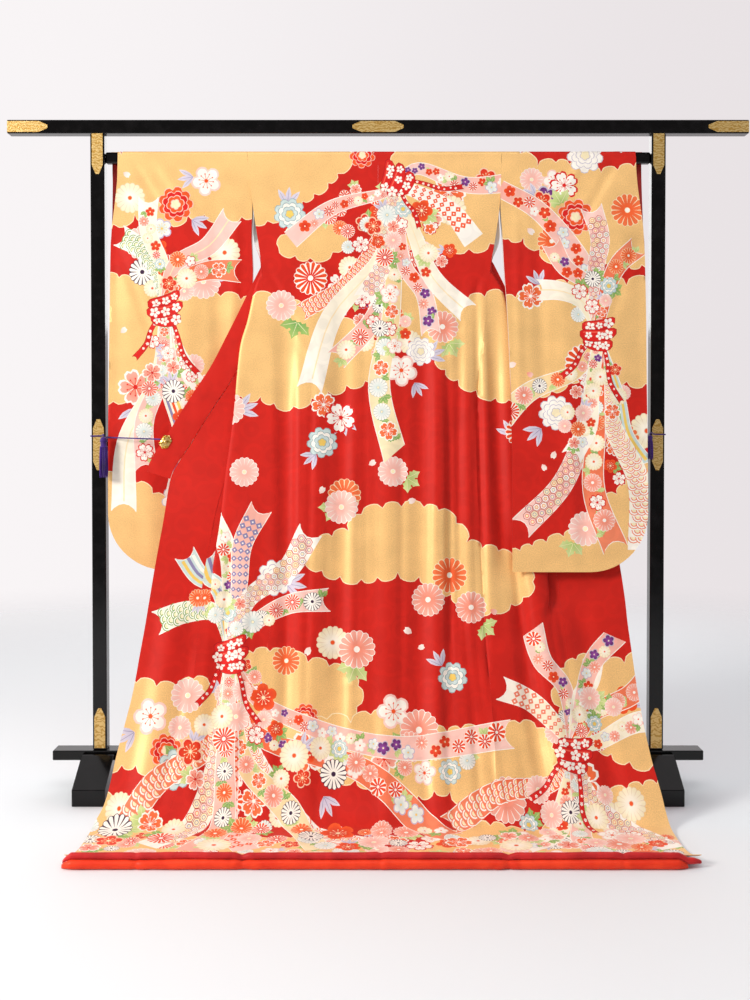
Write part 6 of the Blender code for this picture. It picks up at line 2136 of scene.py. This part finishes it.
def plainSilk(silk):
    # plain-dyed silk: soft, with a shallow crinkle that breaks the light, and a darker tone in patches
    look = plainLook
    material, shader = newMaterial(silk.name, {
        "Roughness": silk.roughness, "Sheen Weight": silk.sheen, "Sheen Roughness": look["sheenRoughness"],
        "Specular IOR Level": look["shine"],
    })
    where = addNode(material, "TexCoord")
    tone = addNode(material, "TexNoise", {"Scale": look["patchesPerMetre"], "Detail": 3.0},
                   {"Vector": (where, "Object")})
    ramp = colourRamp(material, ((0.3, silk.shade), (0.62, silk.colour)), tone)
    plug(material, ramp, "Color", shader, "Base Color")
    grain = addNode(material, "TexNoise", {"Scale": 1000 / silk.grain, "Detail": 3.0},
                    {"Vector": (where, "Object")})
    bump = addNode(material, "Bump", {"Strength": silk.crinkle, "Distance": 0.0008},
                   {"Height": (grain, "Fac")})
    plug(material, bump, "Normal", shader, "Normal")
    return material


collarSilk = plainSilk(Silk("silk crepe, plain red", "#cb2015", "#bd1d13", 0.56, 0.06, 1.4, 0.12))
for side, sign, fronts in (("left", -1, leftFront), ("right", 1, rightFront)):
    collarHalf(side, sign, fronts, collarSilk)
print("the collar halves are on their seams")


# Hem rolls: padded tubes, puckered where panels meet

Roll = namedtuple("Roll", "left right radius rear seed")
lowerRoll = Roll(-656.0, 640.0, 10.5, -565.0, 0.4)
upperRoll = Roll(-655.0, 669.0, 7.6, -562.6, 2.1)
Pucker = namedtuple("Pucker", "x halfWidth pinch")
puckers = rowsOf(Pucker, (
    (-282, 16, 0.16), (269, 16, 0.15), (-502, 12, 0.08), (506, 12, 0.08), (4, 10, 0.07),
))
rollLook = {
    "step": 3.6,
    "sides": 22,
    "end": 24.0,
    "solidSides": 8,  # of the solid that a roll stays inside
    "within": 0.975,
    "squash": 0.98,
    "floorGap": 0.1,
    "wrinkle": 0.055,
}


def rollSize(roll, x):
    waves = 0.5 * math.sin(x / 71.0 + roll.seed)
    waves += 0.3 * math.sin(x / 33.0 + roll.seed * 2.3)
    waves += 0.2 * math.sin(x / 17.0 + roll.seed)
    pinch = 1.0
    for pucker in puckers:
        pinch -= pucker.pinch * max(0.0, 1 - abs(x - pucker.x) / pucker.halfWidth) ** 1.4
    toEnd = max(0.0, min(x - roll.left, roll.right - x))
    taper = math.sqrt(min(1.0, (toEnd + rollLook["end"] / 5) / rollLook["end"]))
    return roll.radius * pinch * taper * (1 + 0.05 * waves)


def rollWrinkle(roll, x, angle):
    # fine creases gather at the puckers and cross the tube at a slant elsewhere
    total = 0.5 * math.sin(x / 5.3 + 2.2 * math.sin(angle) + roll.seed)
    total += 0.5 * math.sin(x / 9.7 - 1.4 * math.cos(angle) + 1.9 * roll.seed)
    near = max(max(0.0, 1 - abs(x - pucker.x) / (pucker.halfWidth * 2.4)) for pucker in puckers)
    return 1 + rollLook["wrinkle"] * total * (0.35 + 1.6 * near)


def hemRoll(name, roll, carrier, material):
    flat = math.cos(math.pi / rollLook["solidSides"])
    bm = bmesh.new()
    rings = []
    count = int((roll.right - roll.left) / rollLook["step"])
    for i in range(count + 1):
        x = mix(roll.left, roll.right, i / count)
        size = rollSize(roll, x) * rollLook["within"]
        y = roll.rear - size * flat
        z = size * flat
        if carrier:
            z += 2 * rollSize(carrier, x) * flat * rollLook["within"] + gap
        ring = []
        for k in range(rollLook["sides"]):
            angle = 2 * math.pi * k / rollLook["sides"]
            reach = size * rollWrinkle(roll, x, angle)
            low = z + reach * math.cos(angle) * rollLook["squash"]
            ring.append((x, y + reach * math.sin(angle), max(low, rollLook["floorGap"])))
        rings.append(ring)
    loft(bm, rings)
    return fromBmesh(name, "Padding", bm, material, 60)


upperSilk = plainSilk(Silk("silk hem roll, crimson", "#cc2a2a", "#ad1d20", 0.46, 0.1, 2.2, 0.5))
lowerSilk = plainSilk(Silk("silk hem roll, vermilion", "#f24320", "#e03317", 0.44, 0.1, 2.2, 0.3))
lowerPiece = hemRoll("hem_roll_lower", lowerRoll, None, lowerSilk)
upperPiece = hemRoll("hem_roll_upper", upperRoll, lowerRoll, upperSilk)
print("the hem rolls are padded and puckered")


# Ties: cords round the posts with tassels, and gilt clips on the collar's edge

postX, postWidth, postDepth, plateThick = 695.0, 35.0, 34.0, 1.2
cordLook = {
    "radius": 1.8,
    "bend": 2.4,  # round a post's corner
    "ease": 0.5,
    "step": 2.2,
    "sides": 12,
    "strands": 3,
    "groove": 0.18,  # between the strands, of the radius
    "lay": 9.0,  # mm along the cord for one turn of a strand
}
clipLook = {
    "length": 34.0,
    "reach": 20.0,
    "jaw": 3.4,
    "bridge": 5.4,
    "at": 868.0,
    "sides": 40,
    "lobe": 0.09,
    "lobes": 6,
    "dome": (1.0, 0.97, 0.86, 0.66, 0.4, 0.14),
}
Knob = namedtuple("Knob", "angle radius away")
clipKnobs = rowsOf(Knob, (
    (0.62, 2.6, 0.9), (2.52, 2.6, 0.9), (3.76, 2.6, 0.9), (5.66, 2.6, 0.9), (0.0, 4.4, 0.0),
))
Bend = namedtuple("Bend", "across y rise")
TasselSize = namedtuple("TasselSize", "x y top length radius strands")
Bound = namedtuple("Bound", "down wide")
tasselHead = rowsOf(Bound, (
    (0.0, 0.2), (0.03, 0.46), (0.14, 0.7), (0.34, 0.86), (0.52, 0.9), (0.6, 0.74), (0.66, 0.72), (0.72, 0.8),
    (0.78, 0.72), (0.84, 0.8), (0.9, 0.74), (1.0, 0.94), (1.06, 0.9),
))
tasselLook = {
    "head": 0.24,  # of the whole length
    "sides": 28,
    "ribs": 14,
    "spread": 0.84,
    "turn": 2.39996,  # radians from each strand to the next, which fills a disc evenly
    "steps": 6,
    "flare": 0.22,  # how far the skirt swells below the head
    "twist": 0.35,  # radians
    "thick": 0.075,
    "tip": 0.03,
    "ridge": 0.03,
    "plainFrom": 0.55,  # below here on the head the ribs fade
}
leftTassel = TasselSize(-677.0, -42.0, 886.0, 100.0, 10.5, 130)
rightTassel = TasselSize(673.0, -34.0, 890.0, 60.0, 7.5, 90)


def smoothRoute(points, step):
    out = []
    for i in range(len(points) - 1):
        p0 = points[max(i - 1, 0)]
        p1, p2 = points[i], points[i + 1]
        p3 = points[min(i + 2, len(points) - 1)]
        parts = max(1, round((p2 - p1).length / step))
        out += [curvePoint(p0, p1, p2, p3, k / parts) for k in range(parts)]
    out.append(points[-1])
    return out


def twistedTube(bm, points):
    # a cord whose strands show as a slow helix along it
    look = cordLook
    rings, sideWay, run = [], Vector((1, 0, 0)), 0.0
    for i, point in enumerate(points):
        if i:
            run += (point - points[i - 1]).length
        along = (points[min(i + 1, len(points) - 1)] - points[max(i - 1, 0)]).normalized()
        sideWay = (sideWay - along * sideWay.dot(along)).normalized()
        other = along.cross(sideWay)
        ring = []
        for k in range(look["sides"]):
            angle = 2 * math.pi * k / look["sides"]
            turned = 2 * math.pi * run / look["lay"] / look["strands"]
            ridge = abs(math.cos(look["strands"] / 2 * (angle - turned)))
            reach = look["radius"] * (1 - look["groove"] + look["groove"] * ridge)
            ring.append(point + (sideWay * math.cos(angle) + other * math.sin(angle)) * reach)
        rings.append(ring)
    loft(bm, rings)


def clipFrame(sign, fronts):
    # where a clip sits: a place on the collar's edge, and the ways out, along and to the viewer
    rows = collarRows(sign, fronts, 17)
    best = min(range(len(rows)), key=lambda i: abs(rows[i][1].z - clipLook["at"]))
    edge = rows[best][1]
    out = (rows[best][1] - rows[best][0]).normalized()
    along = (rows[min(best + 1, len(rows) - 1)][1] - rows[best - 1][1]).normalized()
    along = (along - out * along.dot(out)).normalized()
    normal = out.cross(along).normalized()
    return edge, out, along, normal if normal.y < 0 else -normal


def tieCord(side, sign, level, size, target, material):
    # from the tassel up and round the post, then across to the clip
    radius, look = cordLook["radius"], cordLook
    half = postWidth / 2 + radius + gap
    deep = postDepth / 2 + radius + gap
    front = deep + plateThick + gap
    sixth = (2 * radius + 1.0) / 6
    turns = (
        Bend(-half + look["bend"], -front - gap, 2),
        Bend(-half + look["ease"], -deep + look["ease"], 2),
        Bend(-half, -deep + look["bend"], 2),
        Bend(-half, deep - look["bend"], 1),
        Bend(-half + look["ease"], deep - look["ease"], 1),
        Bend(-half + look["bend"], deep, 1),
        Bend(half - look["bend"], deep, -1),
        Bend(half - look["ease"], deep - look["ease"], -1),
        Bend(half, deep - look["bend"], -1),
        Bend(half, -deep + look["bend"], -2),
        Bend(half - 1.1, -deep - 2.2, -2),
    )
    head = Vector((size.x, size.y, size.top + gap))
    first = Vector((sign * (postX - 8.0), -front - gap, level + 3 * sixth))
    lift = Vector((0, 0, 4.5))
    points = [head, head + lift, head.lerp(first, 0.5) + lift, first]
    points += [Vector((sign * (postX - turn.across), turn.y, level + turn.rise * sixth)) for turn in turns]
    last = points[-1]
    points += [last.lerp(target, 0.3), last.lerp(target, 0.65), target - (target - last).normalized()]
    route = smoothRoute(points, look["step"])
    length = sum((there - here).length for here, there in zip(route, route[1:]))
    print("the", side, "tie cord is", round(length), "mm long")
    bm = bmesh.new()
    twistedTube(bm, route)
    fromBmesh("tie_cord_" + side, "Silk", bm, material, 80)


def tassel(side, size, material, seed):
    # a bound, domed head and a skirt of thin strands that part a little and end unevenly
    rng, look = random.Random(seed), tasselLook
    head = size.length * look["head"]
    bm = bmesh.new()
    rings = []
    for down, wide in tasselHead:
        ring = []
        for k in range(look["sides"]):
            angle = 2 * math.pi * k / look["sides"]
            ribbed = math.sin(look["ribs"] * angle) * (1 if down < look["plainFrom"] else 0.2)
            ridge = 1 + look["ridge"] * ribbed
            ring.append((size.x + math.cos(angle) * wide * size.radius * ridge,
                         size.y + math.sin(angle) * wide * size.radius * ridge, size.top - down * head))
        rings.append(ring)
    loft(bm, rings)
    for index in range(size.strands):
        reach = math.sqrt((index + 0.5) / size.strands) * look["spread"]
        length = (size.length - head) * rng.uniform(0.93, 1.03)
        swing = rng.uniform(-0.5, 0.5)
        rings = []
        for step in range(look["steps"] + 1):
            share = step / look["steps"]
            swell = look["flare"] * math.sin(math.pi * min(1.0, share * 0.62))
            flare = reach * (1 + swell) + 0.03 * swing * share
            angle = index * look["turn"] + swing * look["twist"] * share
            x = size.x + math.cos(angle) * flare * size.radius
            y = size.y + math.sin(angle) * flare * size.radius
            z = size.top - head * 0.98 - share * length
            thick = size.radius * (look["thick"] if share < 1 else look["tip"])
            rings.append([(x + thick * math.cos(angle + a), y + thick * math.sin(angle + a), z)
                          for a in (0.0, 2.09, 4.19)])
        loft(bm, rings)
    fromBmesh("tassel_" + side, "Silk", bm, material, 50)


def clipShell(side, frameOfClip, material):
    # a domed gilt shell over the near jaw with four small feet and a head, and the plain jaw behind
    edge, out, along, normal = frameOfClip
    look = clipLook
    inside = collarWall / 2 + 1.5 * gap
    bm = bmesh.new()
    middle = edge - out * (look["reach"] - look["bridge"]) / 2
    length, width = look["length"] / 2, (look["reach"] + look["bridge"]) / 2

    def shellPlace(angle, share, height):
        spot = middle + along * (math.cos(angle) * length * share)
        return spot + out * (math.sin(angle) * width * share) + normal * height

    angles = [2 * math.pi * k / look["sides"] for k in range(look["sides"])]
    rings = [[shellPlace(angle, 1.0, inside) for angle in angles]]
    for share in look["dome"]:
        height = inside + look["jaw"] * (0.25 + math.sqrt(1 - share * share * 0.97))
        waves = [look["lobe"] * math.cos(look["lobes"] * angle) for angle in angles]
        waved = [(angle, share * (1 + wave * share)) for angle, wave in zip(angles, waves)]
        rings.append([shellPlace(angle, reach, height) for angle, reach in waved])
    loft(bm, rings)
    for angle, size, away in clipKnobs:
        spot = shellPlace(angle, away, inside + look["jaw"] * 0.6 * (2 - away))
        knob = bmesh.ops.create_uvsphere(bm, u_segments=12, v_segments=8, radius=size * millimetre)
        bmesh.ops.scale(bm, vec=(1, 0.6, 1), verts=knob["verts"])
        bmesh.ops.translate(bm, vec=inFrame(tuple(spot)), verts=knob["verts"])
    # the back jaw and the bridge: half length, then from and to across the collar's edge and through it
    for half, near, deep, high in (
        (0.8, -look["reach"] * 0.8, -inside - look["jaw"], -inside),
        (0.6, 4 * gap, -inside, inside + 0.4),
    ):
        for vert in bmesh.ops.create_cube(bm, size=1.0)["verts"]:
            u, v, w = vert.co
            spot = edge + along * (u * 2 * length * half) + out * mix(near, look["bridge"] * 0.9, v + 0.5)
            vert.co = inFrame(tuple(spot + normal * mix(deep, high, w + 0.5)))
    fromBmesh("collar_clip_" + side, "Gilt", bm, material, 40)


cordSilk = plainSilk(Silk("twisted silk cord, purple", "#4a2a86", "#341b63", 0.55, 0.5, 0.7, 0.5))
clipGilt = engravedGilt("gilt clip, domed", {"light": "#f0cf83", "dark": "#b98a35", "roughness": 0.3,
                                             "scrollWidth": 5.0, "speck": 1.0})
for side, sign, fronts, level, size, seed in (
    ("left", -1, leftFront, 886.0, leftTassel, 71),
    ("right", 1, rightFront, 890.0, rightTassel, 73),
):
    frameOfClip = clipFrame(sign, fronts)
    clipShell(side, frameOfClip, clipGilt)
    target = frameOfClip[0] + frameOfClip[1] * (4 * gap + clipLook["bridge"])
    tieCord(side, sign, level, size, target, cordSilk)
    tassel(side, size, cordSilk, seed)
print("the ties have their clips and tassels")
